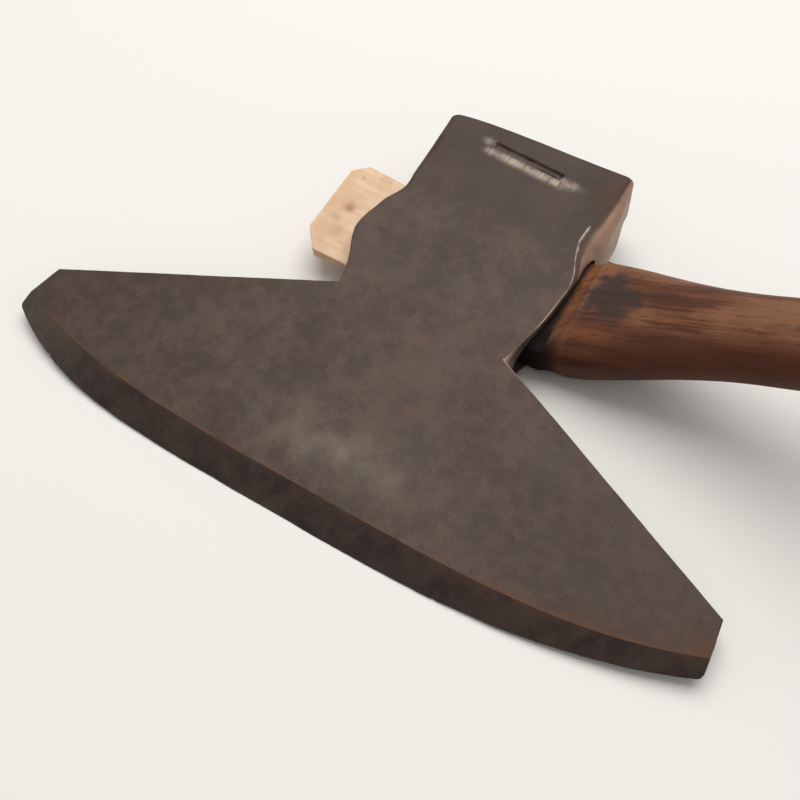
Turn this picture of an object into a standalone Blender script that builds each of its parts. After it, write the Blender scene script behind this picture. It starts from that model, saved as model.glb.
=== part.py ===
"""Broad axe at rest on its side: forged head body, laid steel bit, bent haft and wooden wedge.

Metres, +Z up.  The head is laid out in its own frame (x along the eye towards the grip, y from
the cutting edge to the poll, z out of the flat face) and then tipped by LIE so that the cutting
edge and the pad under the eye both touch the ground plane z = 0.
"""
import math

import bmesh
import bpy
from mathutils import Matrix, Vector

MM = 0.001

# Fits
CLEARANCE = 0.3 * MM          # gap between any two pieces that bear on each other
FRONT_GAP = 8.0 * MM          # open room left in the eye in front of the haft

# Head, square on to the flat face
EDGE_CHORD = 304.0 * MM       # cutting edge, tip to tip
EDGE_SAG = 22.5 * MM          # how far the cutting edge bows past the line of its tips
EDGE_DEPTH = 5.0 * MM         # drop of the cutting edge below the flat face, at mid blade
EDGE_LAND = 0.4 * MM          # blunt width left on the cutting edge
TIP_THIN = 2.0 * MM           # how much thinner the blade is at its two ends
BEVEL_MID = 12.7 * MM         # width of the bevel at mid blade
BEVEL_TIP = 7.0 * MM          # width of the bevel at the tips
BOW_LEFT = 4.4                # how late the cutting edge curves up; 2 would be a parabola
BOW_RIGHT = 3.0
BOW_BEVEL = 3.7               # the same for the upper line of the bevel
TIP_INSET_LEFT = 4.4 * MM     # how far a blade end leans in between the cutting edge and its top corner
TIP_INSET_RIGHT = 2.2 * MM
TIP_RISE = 21.0 * MM          # height of the square blade ends above the tip line
BIT_LAP = 36.0 * MM           # how far the steel runs back under the blade, past the bevel
SCARF_MARGIN = 4.0 * MM       # first full row of the body behind the steel
NECK_Y = 73.0 * MM            # tip line to the corner between blade and eye
NECK_HALF = 39.0 * MM
LUG_LEFT = (103.0 * MM, 47.8 * MM)      # crest of the lug: distance up the head, half width
LUG_RIGHT = (112.0 * MM, 45.0 * MM)
NOTCH_Y = 135.0 * MM          # waist between lugs and poll
NOTCH_HALF = 39.0 * MM
POLL_Y = 173.0 * MM           # tip line to the corners of the poll
POLL_CROWN = 2.6 * MM         # how far the struck face of the poll swells past its corners
POLL_HALF = 39.3 * MM         # half width of the flat at the poll
POLL_SWELL_LEFT = 3.6 * MM    # how far the hammered poll stands out past the flat
POLL_SWELL_RIGHT = 8.0 * MM
POLL_ROUND = 9.0 * MM         # depth of the rounding along the poll
LIP_START = 155.0 * MM        # the struck end starts to spread here
LIP_ROUND = 3.0 * MM          # depth left of it at the struck end
LIP_HALF = 41.5 * MM          # half width of the flat at the struck end, right side
LIP_SWELL = 2.6 * MM          # how far the poll still stands out past the flat there
LIP_RISE = 3.2 * MM           # how far the right corner has been driven back over its edge
POLL_DEPTH = 27.0 * MM        # thickness of the poll
POLL_CHAMFER = 1.6 * MM
EDGE_ROUND = 0.8 * MM         # worn rounding on the other edges
UNDER_ROUND = 3.0 * MM

# Underside
BLADE_DEPTH = 9.5 * MM        # blade thickness where it begins to swell towards the eye
SWELL_Y = 42.0 * MM
PAD_START = 100.0 * MM
PAD_END = 134.0 * MM
PAD_DEPTH = 33.0 * MM         # thickness of the head at the back of the pad

# Eye: flattened oval with its back end fuller than its front
EYE_FRONT = 77.0 * MM
EYE_BACK = 137.0 * MM
EYE_HEIGHT = 22.0 * MM
ROOF = 3.5 * MM               # wall left between eye and flat face
EYE_SQUARE = 3.2              # exponent of the oval; 2 would be an ellipse
EYE_TAPER = 0.45              # loss of depth at the front end

# Touchmark slot, left blank
MARK_LENGTH = 34.0 * MM
MARK_WIDTH = 3.2 * MM
MARK_DEPTH = 1.2 * MM
MARK_Y = 163.6 * MM
MARK_TURN = math.radians(-4.5)

# Haft
TONGUE_END = 39.5 * MM        # end of the haft inside the eye, left of the middle
TONGUE_RUN = 47.0 * MM        # the cut-down part ends this far right of the middle
SHOULDER_STEP = 1.0 * MM      # how far the haft stands proud of the cut-down part
HAFT_SHIFT = 1.5 * MM         # centre line of the haft, towards the poll from that of the tongue
HAFT_BEND = math.radians(25.2)          # lift of the haft out of the plane of the blade
HAFT_DRIFT = math.radians(3.75)         # drift towards the poll
HAFT_LEVEL = math.radians(5.0)          # lift left at the grip
BEND_RADIUS = 25.0 * MM
BENT_LENGTH = 110.0 * MM      # straight run at full bend
EASE_LENGTH = 130.0 * MM      # run over which the bend eases back to the grip
GRIP_LENGTH = 190.0 * MM
SHANK_WIDTH = 35.0 * MM       # haft once clear of the head
SHANK_THICK = 24.2 * MM
TAPER_LENGTH = 84.0 * MM      # run over which it narrows from the eye width
SOFTEN_LENGTH = 51.0 * MM     # run over which its section goes from squarish to soft
HAFT_SQUARE = 2.3             # exponent of its section from there on
GRIP_WIDTH = 36.0 * MM
GRIP_THICK = 26.0 * MM
KNOB_WIDTH = 42.0 * MM
KNOB_LENGTH = 45.0 * MM
KNOB_ROUND = 12.0 * MM

# Wedge and the kerf it sits in
WEDGE_FRONT = 85.8 * MM       # its front side, up the head
WEDGE_WIDTH = 50.4 * MM       # at the driven end
WEDGE_SLIM = 45.5 * MM        # width at the thin end
WEDGE_THICK = 6.5 * MM
WEDGE_THIN = 2.0 * MM
WEDGE_REACH = 70.5 * MM       # driven end, left of the middle
WEDGE_POINT = 6.0 * MM        # thin end, right of the middle
WEDGE_CLIP_FRONT = (8.0 * MM, 10.0 * MM)    # corners sawn off the driven end: along, across
WEDGE_CLIP_BACK = (6.5 * MM, 6.5 * MM)
WEDGE_Z = -12.2 * MM
WEDGE_EASE = 0.8 * MM
KERF_BOTTOM = 10.0 * MM       # kerf ends this far right of the middle

# Resolution
COLUMNS = 28
ARC_STEPS = 3
SHOULDER_ROWS = 9
LUG_ROWS = 16
POLL_ROWS = 6
OVAL_STEPS = 40
TONGUE_STEPS = 8
HAFT_STEPS = 120
FIRST_STATION = 2             # stations left out at the slope up to the shoulder

LIE_SLOPE = (PAD_DEPTH - EDGE_DEPTH) / (PAD_END + EDGE_SAG)
LIE = math.atan(LIE_SLOPE)
PAD_MIDDLE = (PAD_START + PAD_END) / 2.0
EYE_Z = -(ROOF + EYE_HEIGHT / 2.0)


def clear_scene():
    """Remove whatever the start-up file holds."""
    for obj in list(bpy.data.objects):
        bpy.data.objects.remove(obj, do_unlink=True)


def material(name, colour, metallic, roughness):
    """Principled material with constant values."""
    mat = bpy.data.materials.new(name)
    mat.use_nodes = True
    shader = mat.node_tree.nodes["Principled BSDF"]
    shader.inputs["Base Color"].default_value = (*colour, 1.0)
    shader.inputs["Metallic"].default_value = metallic
    shader.inputs["Roughness"].default_value = roughness
    mat.diffuse_color = (*colour, 1.0)
    return mat


def lerp(a, b, f):
    """Straight blend from a to b."""
    return a + (b - a) * f


def ease(a, b, f):
    """Half-cosine blend from a to b, level at both ends."""
    f = min(max(f, 0.0), 1.0)
    return lerp(a, b, (1.0 - math.cos(math.pi * f)) / 2.0)


def table_depth(y):
    """Depth of the ground plane below the flat face, y up the head."""
    return EDGE_DEPTH + LIE_SLOPE * (y + EDGE_SAG)


def under_depth(y):
    """Thickness of the head on its centre line, y up the head."""
    if y < SWELL_Y:
        return lerp(EDGE_DEPTH, BLADE_DEPTH, (y + EDGE_SAG) / (SWELL_Y + EDGE_SAG))
    if y < PAD_START:
        swell = ease(BLADE_DEPTH, table_depth(PAD_START), (y - SWELL_Y) / (PAD_START - SWELL_Y))
        return min(swell, table_depth(y))
    if y <= PAD_END:
        return table_depth(y)
    return ease(PAD_DEPTH, POLL_DEPTH, (y - PAD_END) / (POLL_Y - PAD_END))


def lug_half(y, crest):
    """Half width of the flat face above the neck, for a lug whose crest is (y, half width)."""
    top, half = crest
    if y < top:
        return ease(NECK_HALF, half, (y - NECK_Y) / (top - NECK_Y))
    if y < NOTCH_Y:
        return ease(half, NOTCH_HALF, (y - top) / (NOTCH_Y - top))
    return lerp(NOTCH_HALF, POLL_HALF, (y - NOTCH_Y) / (POLL_Y - NOTCH_Y))


def poll_share(y):
    """0 below the lugs, rising to 1 at the poll."""
    return ease(0.0, 1.0, (y - LUG_RIGHT[0]) / (NOTCH_Y + 10.0 * MM - LUG_RIGHT[0]))


class Section:
    """One closed ring round the head, left to right over the face and back underneath."""

    def __init__(self, y_mid, y_end, left, right, depth, thin=0.0):
        self.y_top = (y_mid, y_end)
        self.y_low = (y_mid, y_end)
        self.left = left
        self.right = right
        self.swell_left = 0.0
        self.swell_right = 0.0
        self.round_top = EDGE_ROUND
        self.round_low = EDGE_ROUND
        self.round_side = 0.0
        self.depth = depth
        self.thin = thin
        self.inset = 0.0
        self.rise_right = 0.0

    def point(self, x, depth, low):
        """Point at lateral x and depth below the face, on the curve of the row."""
        half = self.right + self.swell_right if x > 0.0 else self.left + self.swell_left
        share = min(abs(x) / half, 1.0)
        mid, end = self.y_low if low else self.y_top
        if x > 0.0:
            end += self.rise_right
        return Vector((x, lerp(mid, end, share ** BOW_BEVEL), -depth))

    def ring(self):
        """Points of the ring, all rows the same count."""
        left = self.left + self.swell_left - self.inset
        right = self.right + self.swell_right - self.inset
        top = self.inset
        low = self.depth - self.inset
        end_low = low - self.thin
        flat_left = left - self.swell_left - self.round_top
        flat_right = right - self.swell_right - self.round_top
        round_z = max(self.round_top, self.round_side)
        points = []
        for i in range(COLUMNS + 1):
            x = lerp(-flat_left, flat_right, i / COLUMNS)
            points.append(self.point(x, top, False))
        for i in range(1, ARC_STEPS + 1):
            a = math.pi / 2.0 * i / ARC_STEPS
            x = flat_right + (right - flat_right) * math.sin(a)
            points.append(self.point(x, top + round_z * (1.0 - math.cos(a)), False))
        for i in range(ARC_STEPS):
            a = math.pi / 2.0 * i / ARC_STEPS
            x = right - self.round_low * (1.0 - math.cos(a))
            points.append(self.point(x, end_low - self.round_low * (1.0 - math.sin(a)), True))
        for i in range(COLUMNS + 1):
            x = lerp(right - self.round_low, -left + self.round_low, i / COLUMNS)
            share = min(abs(x) / (right if x > 0.0 else left), 1.0)
            points.append(self.point(x, low - self.thin * share ** 2, True))
        for i in range(1, ARC_STEPS + 1):
            a = math.pi / 2.0 * i / ARC_STEPS
            x = -left + self.round_low * (1.0 - math.sin(a))
            points.append(self.point(x, end_low - self.round_low * (1.0 - math.cos(a)), True))
        for i in range(ARC_STEPS):
            a = math.pi / 2.0 * i / ARC_STEPS
            x = -flat_left - (left - flat_left) * math.cos(a)
            points.append(self.point(x, top + round_z * (1.0 - math.sin(a)), False))
        return points


def blade_half(y, inset):
    """Half width of the blade at height y on its end, a straight line from the edge corner."""
    return EDGE_CHORD / 2.0 - inset * y / TIP_RISE


def scarf_low(share):
    """Where the steel ends under the blade, share 0 at mid blade and 1 at its ends."""
    mid = BEVEL_MID - EDGE_SAG + BIT_LAP
    end = BEVEL_TIP + (TIP_RISE - BEVEL_TIP) / 2.0
    return lerp(mid, end, share ** BOW_BEVEL)


def blade_sections():
    """Rings from the bevel to just below the neck."""
    left = blade_half(TIP_RISE, TIP_INSET_LEFT)
    right = blade_half(TIP_RISE, TIP_INSET_RIGHT)
    first = Section(BEVEL_MID - EDGE_SAG, BEVEL_TIP,
                    blade_half(BEVEL_TIP, TIP_INSET_LEFT), blade_half(BEVEL_TIP, TIP_INSET_RIGHT),
                    under_depth(scarf_low(0.0)), TIP_THIN)
    first.y_low = (scarf_low(0.0), scarf_low(1.0))
    first.round_top = EDGE_ROUND / 4.0
    first.round_low = EDGE_ROUND / 4.0
    rows = [first]
    for i in range(SHOULDER_ROWS):
        f = i / SHOULDER_ROWS
        y_end = lerp(TIP_RISE, NECK_Y, f)
        y_mid = lerp(scarf_low(0.0) + SCARF_MARGIN, NECK_Y, f)
        rows.append(Section(y_mid, y_end, lerp(left, NECK_HALF, f), lerp(right, NECK_HALF, f),
                            under_depth(y_mid), TIP_THIN * (1.0 - f)))
    return rows


def upper_sections():
    """Rings from the neck to the poll."""
    rows = []
    heights = [lerp(NECK_Y, PAD_END, i / LUG_ROWS) for i in range(LUG_ROWS + 1)]
    top = POLL_Y - POLL_CHAMFER
    heights += [lerp(PAD_END, top, (i + 1) / POLL_ROWS) for i in range(POLL_ROWS)]
    for y in heights:
        share = poll_share(y)
        bow = POLL_CROWN * max(0.0, (y - PAD_END) / (top - PAD_END))
        row = Section(y + bow, y, lug_half(y, LUG_LEFT), lug_half(y, LUG_RIGHT), under_depth(y))
        lip = ease(0.0, 1.0, (y - LIP_START) / (top - LIP_START))
        row.right += (LIP_HALF - POLL_HALF) * lip
        row.swell_left = POLL_SWELL_LEFT * share
        row.swell_right = lerp(POLL_SWELL_RIGHT * share, LIP_SWELL, lip)
        row.rise_right = LIP_RISE * lip
        row.round_side = lerp(POLL_ROUND, LIP_ROUND, (y - NOTCH_Y) / (top - NOTCH_Y)) * share
        row.round_low = UNDER_ROUND
        rows.append(row)
    last = Section(POLL_Y + POLL_CROWN, POLL_Y, POLL_HALF, LIP_HALF, POLL_DEPTH)
    last.swell_left = POLL_SWELL_LEFT
    last.swell_right = LIP_SWELL
    last.rise_right = LIP_RISE
    last.round_side = LIP_ROUND
    last.round_low = UNDER_ROUND
    last.inset = POLL_CHAMFER
    rows.append(last)
    return rows


def add_mesh(name, bm, mat):
    """Turn a bmesh into a named object with its material."""
    bmesh.ops.recalc_face_normals(bm, faces=bm.faces[:])
    mesh = bpy.data.meshes.new(name)
    bm.to_mesh(mesh)
    bm.free()
    mesh.materials.append(mat)
    obj = bpy.data.objects.new(name, mesh)
    bpy.context.scene.collection.objects.link(obj)
    return obj


def loft(rings):
    """Quads between successive closed rings; the ends stay open."""
    bm = bmesh.new()
    loops = [[bm.verts.new(p) for p in ring] for ring in rings]
    count = len(loops[0])
    for a, b in zip(loops, loops[1:]):
        for i in range(count):
            j = (i + 1) % count
            bm.faces.new((a[i], a[j], b[j], b[i]))
    return bm, loops


def cap_across(bm, loop):
    """Close a ring of the head with one strip of quads from face to underside."""
    side = 2 * ARC_STEPS
    under = COLUMNS + 1 + side
    for i in range(COLUMNS):
        bm.faces.new((loop[i], loop[i + 1], loop[under + COLUMNS - i - 1], loop[under + COLUMNS - i]))
    bm.faces.new(loop[COLUMNS:under + 1])
    bm.faces.new(loop[under + COLUMNS:] + loop[:1])


def apply_cut(target, cutter):
    """Exact Boolean difference, applied at once; the cutter is removed."""
    cutter.hide_render = True
    cutter.display_type = "WIRE"
    cut = target.modifiers.new("cut", "BOOLEAN")
    cut.operation = "DIFFERENCE"
    cut.solver = "EXACT"
    cut.object = cutter
    bpy.context.view_layer.update()
    graph = bpy.context.evaluated_depsgraph_get()
    mesh = bpy.data.meshes.new_from_object(target.evaluated_get(graph))
    target.modifiers.clear()
    target.data = mesh
    bpy.data.objects.remove(cutter, do_unlink=True)


def eye_oval(front, back, height, z):
    """Points (y, z) of a flattened oval, its lower half shallower towards the front."""
    half = (back - front) / 2.0
    points = []
    for i in range(OVAL_STEPS):
        a = 2.0 * math.pi * i / OVAL_STEPS
        c = math.cos(a)
        s = math.sin(a)
        across = math.copysign(abs(c) ** (2.0 / EYE_SQUARE), c)
        rise = math.copysign(abs(s) ** (2.0 / EYE_SQUARE), s) * height / 2.0
        if rise < 0.0:
            rise *= 1.0 - EYE_TAPER * (1.0 - across) / 2.0
        points.append(((front + back) / 2.0 + half * across, z + rise))
    return points


def prism(name, profile, x0, x1, mat):
    """Solid of constant (y, z) profile between two x values."""
    bm, loops = loft([[Vector((x, y, z)) for y, z in profile] for x in (x0, x1)])
    bm.faces.new(loops[0])
    bm.faces.new(loops[-1])
    return add_mesh(name, bm, mat)


def mark_cutter(mat):
    """Block that sinks the slot, turned a little off square to the poll."""
    bm = bmesh.new()
    bmesh.ops.create_cube(bm, size=1.0)
    size = Matrix.Diagonal((MARK_LENGTH, MARK_WIDTH, 2.0 * MARK_DEPTH, 1.0))
    turn = Matrix.Rotation(MARK_TURN, 4, "Z")
    place = Matrix.Translation((0.0, MARK_Y, 0.0))
    bmesh.ops.transform(bm, matrix=place @ turn @ size, verts=bm.verts)
    return add_mesh("mark_cutter", bm, mat)


def build_head(mat):
    """Forged iron body with eye, lugs, poll and blank slot."""
    rings = [row.ring() for row in blade_sections() + upper_sections()]
    bm, loops = loft(rings)
    cap_across(bm, loops[0])
    cap_across(bm, loops[-1])
    head = add_mesh("head_body", bm, mat)
    reach = EDGE_CHORD / 2.0
    oval = eye_oval(EYE_FRONT, EYE_BACK, EYE_HEIGHT, EYE_Z)
    apply_cut(head, prism("eye_cutter", oval, -reach, reach, mat))
    apply_cut(head, mark_cutter(mat))
    return head


def build_bit(mat):
    """Steel laid under the front of the blade, bevelled on the face side."""
    rings = []
    for i in range(COLUMNS + 1):
        u = lerp(-1.0, 1.0, i / COLUMNS)
        share = abs(u)
        edge_x = u * EDGE_CHORD / 2.0
        back_x = u * blade_half(BEVEL_TIP, TIP_INSET_RIGHT if u > 0.0 else TIP_INSET_LEFT)
        edge_y = lerp(-EDGE_SAG, 0.0, share ** (BOW_RIGHT if u > 0.0 else BOW_LEFT))
        bevel_y = lerp(BEVEL_MID - EDGE_SAG, BEVEL_TIP, share ** BOW_BEVEL)
        thin = TIP_THIN * share ** 2
        edge = Vector((edge_x, edge_y, thin - EDGE_DEPTH))
        land = edge + Vector((0.0, 0.0, EDGE_LAND))
        arris = Vector((back_x, bevel_y, 0.0))
        low = Vector((back_x, scarf_low(share), thin - under_depth(scarf_low(0.0))))
        bevel = land - arris
        scarf = low - arris
        slope = math.atan2(-scarf.z, scarf.y)
        top = arris + bevel.normalized() * CLEARANCE / math.sin(bevel.angle(scarf))
        low.y -= CLEARANCE / math.sin(slope)
        rings.append([edge, land, top, low])
    bm, loops = loft(rings)
    bm.faces.new(loops[0])
    bm.faces.new(loops[-1])
    return add_mesh("steel_bit", bm, mat)


def haft_stations():
    """Centre line of the haft past the shoulder: (distance, position, heading, width, thickness)."""
    total = BENT_LENGTH + EASE_LENGTH + GRIP_LENGTH
    steps = HAFT_STEPS
    step = total / steps
    front = EYE_FRONT + FRONT_GAP
    width = EYE_BACK - front - 2.0 * CLEARANCE
    position = Vector((TONGUE_RUN, front + width / 2.0 + HAFT_SHIFT, EYE_Z))
    stations = []
    for i in range(steps + 1):
        s = i * step
        if s < BEND_RADIUS * HAFT_BEND:
            lift = s / BEND_RADIUS
        elif s < BENT_LENGTH:
            lift = HAFT_BEND
        else:
            lift = ease(HAFT_BEND, HAFT_LEVEL, (s - BENT_LENGTH) / EASE_LENGTH)
        heading = Vector((math.cos(lift), math.sin(HAFT_DRIFT), math.sin(lift))).normalized()
        w = ease(width, SHANK_WIDTH, s / TAPER_LENGTH)
        t = ease(EYE_HEIGHT, SHANK_THICK, s / TAPER_LENGTH)
        grip = (s - BENT_LENGTH) / EASE_LENGTH
        w += (GRIP_WIDTH - SHANK_WIDTH) * ease(0.0, 1.0, grip)
        t += (GRIP_THICK - SHANK_THICK) * ease(0.0, 1.0, grip)
        w += (KNOB_WIDTH - GRIP_WIDTH) * ease(0.0, 1.0, (s - total + KNOB_LENGTH) / KNOB_LENGTH)
        stations.append((s, position.copy(), heading, w, t))
        position += heading * step
    return stations


def haft_ring(position, heading, width, thick, square):
    """Flattened oval square to the heading."""
    side = Vector((0.0, 0.0, 1.0)).cross(heading).normalized()
    up = heading.cross(side)
    points = []
    for i in range(OVAL_STEPS):
        a = 2.0 * math.pi * i / OVAL_STEPS
        c = math.cos(a)
        s = math.sin(a)
        across = math.copysign(abs(c) ** (2.0 / square), c) * width / 2.0
        rise = math.copysign(abs(s) ** (2.0 / square), s) * thick / 2.0
        points.append(position + side * across + up * rise)
    return points


def build_haft(mat):
    """Haft with a straight tongue in the eye, a bend out of the blade plane and a plain grip."""
    front = EYE_FRONT + FRONT_GAP
    fit = 2.0 * CLEARANCE
    oval = eye_oval(EYE_FRONT + fit, EYE_BACK - fit, EYE_HEIGHT - fit, EYE_Z)
    oval = [(max(y, front), z) for y, z in oval]
    rings = []
    for i in range(TONGUE_STEPS + 1):
        x = lerp(-TONGUE_END, TONGUE_RUN, i / TONGUE_STEPS)
        rings.append([Vector((x, y, z)) for y, z in oval])
    stations = haft_stations()
    total = stations[-1][0]
    for s, position, heading, width, thick in stations[FIRST_STATION:]:
        square = ease(EYE_SQUARE, HAFT_SQUARE, s / SOFTEN_LENGTH)
        share = ease(0.0, 1.0, s / TAPER_LENGTH)
        ring = haft_ring(position, heading, width + 2.0 * SHOULDER_STEP * (1.0 - share),
                         thick + 2.0 * SHOULDER_STEP * (1.0 - share), square)
        left = total - s
        if left < KNOB_ROUND:
            shrink = math.sqrt(max(0.0, 1.0 - (1.0 - left / KNOB_ROUND) ** 2))
            shrink = lerp(0.45, 1.0, shrink)
            ring = [position + (p - position) * shrink for p in ring]
        rings.append(ring)
    bm, loops = loft(rings)
    bm.faces.new(loops[0])
    bm.faces.new(loops[-1])
    haft = add_mesh("haft", bm, mat)
    apply_cut(haft, kerf_cutter(mat))
    for face in haft.data.polygons:
        face.use_smooth = True
    return haft


def wedge_half(x):
    """Half thickness of the wedge at x, thick at the driven end."""
    f = (x + WEDGE_REACH) / (WEDGE_POINT + WEDGE_REACH)
    return lerp(WEDGE_THICK, WEDGE_THIN, f) / 2.0


def kerf_cutter(mat):
    """Tapered slot for the wedge, open at the tongue end."""
    x0 = -TONGUE_END - 5.0 * MM
    x1 = KERF_BOTTOM
    y0 = EYE_FRONT - FRONT_GAP
    y1 = EYE_BACK + FRONT_GAP
    bm = bmesh.new()
    loops = []
    for x in (x0, x1):
        half = wedge_half(x) + CLEARANCE
        corners = ((y0, -half), (y1, -half), (y1, half), (y0, half))
        loops.append([bm.verts.new((x, y, WEDGE_Z + z)) for y, z in corners])
    for i in range(4):
        j = (i + 1) % 4
        bm.faces.new((loops[0][i], loops[0][j], loops[1][j], loops[1][i]))
    bm.faces.new(loops[0])
    bm.faces.new(loops[1])
    return add_mesh("kerf_cutter", bm, mat)


def wedge_back(x):
    """Back side of the wedge at x; it narrows towards the thin end."""
    f = (x + WEDGE_REACH) / (WEDGE_POINT + WEDGE_REACH)
    return WEDGE_FRONT + lerp(WEDGE_WIDTH, WEDGE_SLIM, f)


def build_wedge(mat):
    """Wooden wedge, wide as the haft, with clipped corners on the driven end."""
    front_x = -WEDGE_REACH + WEDGE_CLIP_FRONT[0]
    back_x = -WEDGE_REACH + WEDGE_CLIP_BACK[0]
    outline = ((WEDGE_POINT, WEDGE_FRONT), (WEDGE_POINT, wedge_back(WEDGE_POINT)),
               (back_x, wedge_back(back_x)),
               (-WEDGE_REACH, wedge_back(-WEDGE_REACH) - WEDGE_CLIP_BACK[1]),
               (-WEDGE_REACH, WEDGE_FRONT + WEDGE_CLIP_FRONT[1]), (front_x, WEDGE_FRONT))
    bm = bmesh.new()
    top = [bm.verts.new((x, y, WEDGE_Z + wedge_half(x))) for x, y in outline]
    low = [bm.verts.new((x, y, WEDGE_Z - wedge_half(x))) for x, y in outline]
    for i in range(len(outline)):
        j = (i + 1) % len(outline)
        bm.faces.new((top[i], top[j], low[j], low[i]))
    bm.faces.new(top)
    bm.faces.new(low)
    rim = [e for e in bm.edges if all(v.co.x < front_x + WEDGE_EASE for v in e.verts)]
    bmesh.ops.bevel(bm, geom=rim, offset=WEDGE_EASE, segments=1, affect="EDGES")
    return add_mesh("wedge", bm, mat)


def lay_down(objects):
    """Tip everything on to the cutting edge and the pad, with the pad's middle at the origin."""
    drop = EDGE_DEPTH * math.cos(LIE) + EDGE_SAG * math.sin(LIE)
    tip = Matrix.Translation((0.0, 0.0, drop)) @ Matrix.Rotation(LIE, 4, "X")
    pad = tip @ Vector((0.0, PAD_MIDDLE, -table_depth(PAD_MIDDLE)))
    place = Matrix.Translation((0.0, -pad.y, 0.0)) @ tip
    for obj in objects:
        obj.data.transform(place)
        obj.data.update()


def main():
    clear_scene()
    iron = material("forged_iron", (0.085, 0.066, 0.055), 0.75, 0.55)
    steel = material("edge_steel", (0.06, 0.048, 0.042), 0.85, 0.45)
    wood = material("haft_wood", (0.17, 0.07, 0.035), 0.0, 0.5)
    pale = material("wedge_wood", (0.62, 0.44, 0.29), 0.0, 0.75)
    lay_down([build_head(iron), build_bit(steel), build_haft(wood), build_wedge(pale)])


main()
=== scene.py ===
# %% [markdown]
# # A broad axe: forged head, laid steel, bent haft, driven wedge
#
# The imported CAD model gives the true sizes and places. It is loaded first and never changed. Each
# visible piece is then worked out again as a fine surface with numpy, laid exactly where its CAD
# node lies, and given a finish from shader nodes.

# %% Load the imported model
import math

import bpy
import numpy as np
from mathutils import Matrix, Vector


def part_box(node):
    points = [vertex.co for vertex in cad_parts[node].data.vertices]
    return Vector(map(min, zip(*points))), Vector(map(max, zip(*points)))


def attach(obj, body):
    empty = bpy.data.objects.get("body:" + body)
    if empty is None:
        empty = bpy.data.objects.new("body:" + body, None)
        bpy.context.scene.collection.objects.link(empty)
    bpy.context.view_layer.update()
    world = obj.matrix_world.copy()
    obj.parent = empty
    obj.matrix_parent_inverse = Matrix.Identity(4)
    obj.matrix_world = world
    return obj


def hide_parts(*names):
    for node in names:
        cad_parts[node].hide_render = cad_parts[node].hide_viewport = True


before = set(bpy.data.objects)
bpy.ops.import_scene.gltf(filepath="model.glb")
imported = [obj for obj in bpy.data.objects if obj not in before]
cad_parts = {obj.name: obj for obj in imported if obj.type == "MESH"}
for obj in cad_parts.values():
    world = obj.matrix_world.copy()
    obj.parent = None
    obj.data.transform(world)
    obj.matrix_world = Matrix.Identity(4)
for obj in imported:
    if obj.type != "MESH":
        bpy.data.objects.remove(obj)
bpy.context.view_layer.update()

# %% [markdown]
# ## Camera
#
# The view comes first, because it decides which surfaces need the most detail. The axe is seen
# from in front of the cutting edge, a little to the grip side, looking down at 54 degrees. A camera
# is easiest to reason about as a target point, a distance and angles, so its place is worked out
# from those.

# %% Place the camera
MM = 0.001
LOOK_AT = np.array([13.18, -85.16, 19.98]) * MM
DISTANCE = 376.8 * MM
AZIMUTH, ELEVATION, ROLL = (math.radians(a) for a in (-59.4, 54.47, -1.358))

back = np.array([math.cos(ELEVATION) * math.cos(AZIMUTH),
                 math.cos(ELEVATION) * math.sin(AZIMUTH), math.sin(ELEVATION)])
right = np.cross([0.0, 0.0, 1.0], back)
right /= np.linalg.norm(right)
up = np.cross(back, right)
right, up = (right * math.cos(ROLL) - up * math.sin(ROLL),
             right * math.sin(ROLL) + up * math.cos(ROLL))
lens = bpy.data.cameras.new("camera")
lens.lens, lens.sensor_width, lens.clip_start = 45.0, 36.0, 0.01
camera = bpy.data.objects.new("camera", lens)
turn = Matrix(np.column_stack([right, up, back]).tolist()).to_4x4()
camera.matrix_world = Matrix.Translation(LOOK_AT + back * DISTANCE) @ turn
bpy.context.scene.collection.objects.link(camera)
bpy.context.scene.camera = camera
print("camera at", [round(v, 4) for v in camera.matrix_world.translation])

# %% [markdown]
# ## Helpers for shapes
#
# Old tools have no perfectly straight line on them, so every surface here gets a little
# unevenness. Value noise does that: random numbers on the corners of a lattice, blended smoothly
# in between. The seeds are fixed, so the axe comes out the same every time.

# %% Blends and noise


def lerp(a, b, f):
    """a + (b - a) f."""
    return a + (b - a) * f


def ease(a, b, f):
    """Half-cosine step: a for f <= 0, b for f >= 1, level at both ends."""
    return a + (b - a) * (1.0 - np.cos(math.pi * np.clip(f, 0.0, 1.0))) / 2.0


def spot(x, centre, width):
    """Bell curve exp(-((x - centre) / width)^2)."""
    return np.exp(-((x - centre) / width) ** 2)


def lattice(points, cell, seed):
    """Value noise in [-1, 1]: corner values blended with 3t^2 - 2t^3 on each axis."""
    table = np.random.default_rng(seed).random((32, 32, 32)) * 2.0 - 1.0
    q = points / cell + 500.0
    low = np.floor(q).astype(int)
    t = q - low
    t = t * t * (3.0 - 2.0 * t)
    total = np.zeros(points.shape[:-1])
    for corner in np.ndindex(2, 2, 2):
        at = (low + corner) % 32
        weight = np.prod(np.where(corner, t, 1.0 - t), axis=-1)
        total += weight * table[at[..., 0], at[..., 1], at[..., 2]]
    return total


def rough(points, cell, seed, octaves=3):
    """Sum of lattice noise, each octave half the size and half the height of the last."""
    return sum(lattice(points, cell / 2 ** k, seed + k) / 2 ** k for k in range(octaves))


print("noise at the origin:", round(float(rough(np.zeros((1, 3)), 0.01, 1)[0]), 3))

# %% [markdown]
# ## From a grid to a mesh
#
# Every piece is a stack of closed rings: `rings[i, j]` is point j of ring i. Neighbouring rings are
# joined by quads and the two ends are closed by one many-sided face each. If the enclosed volume
# comes out negative the faces point inwards, so their order is reversed. Masks are extra numbers
# per point, such as how worn it is; the finishes read them by name.

# %% Ring stacks to closed meshes


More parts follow.
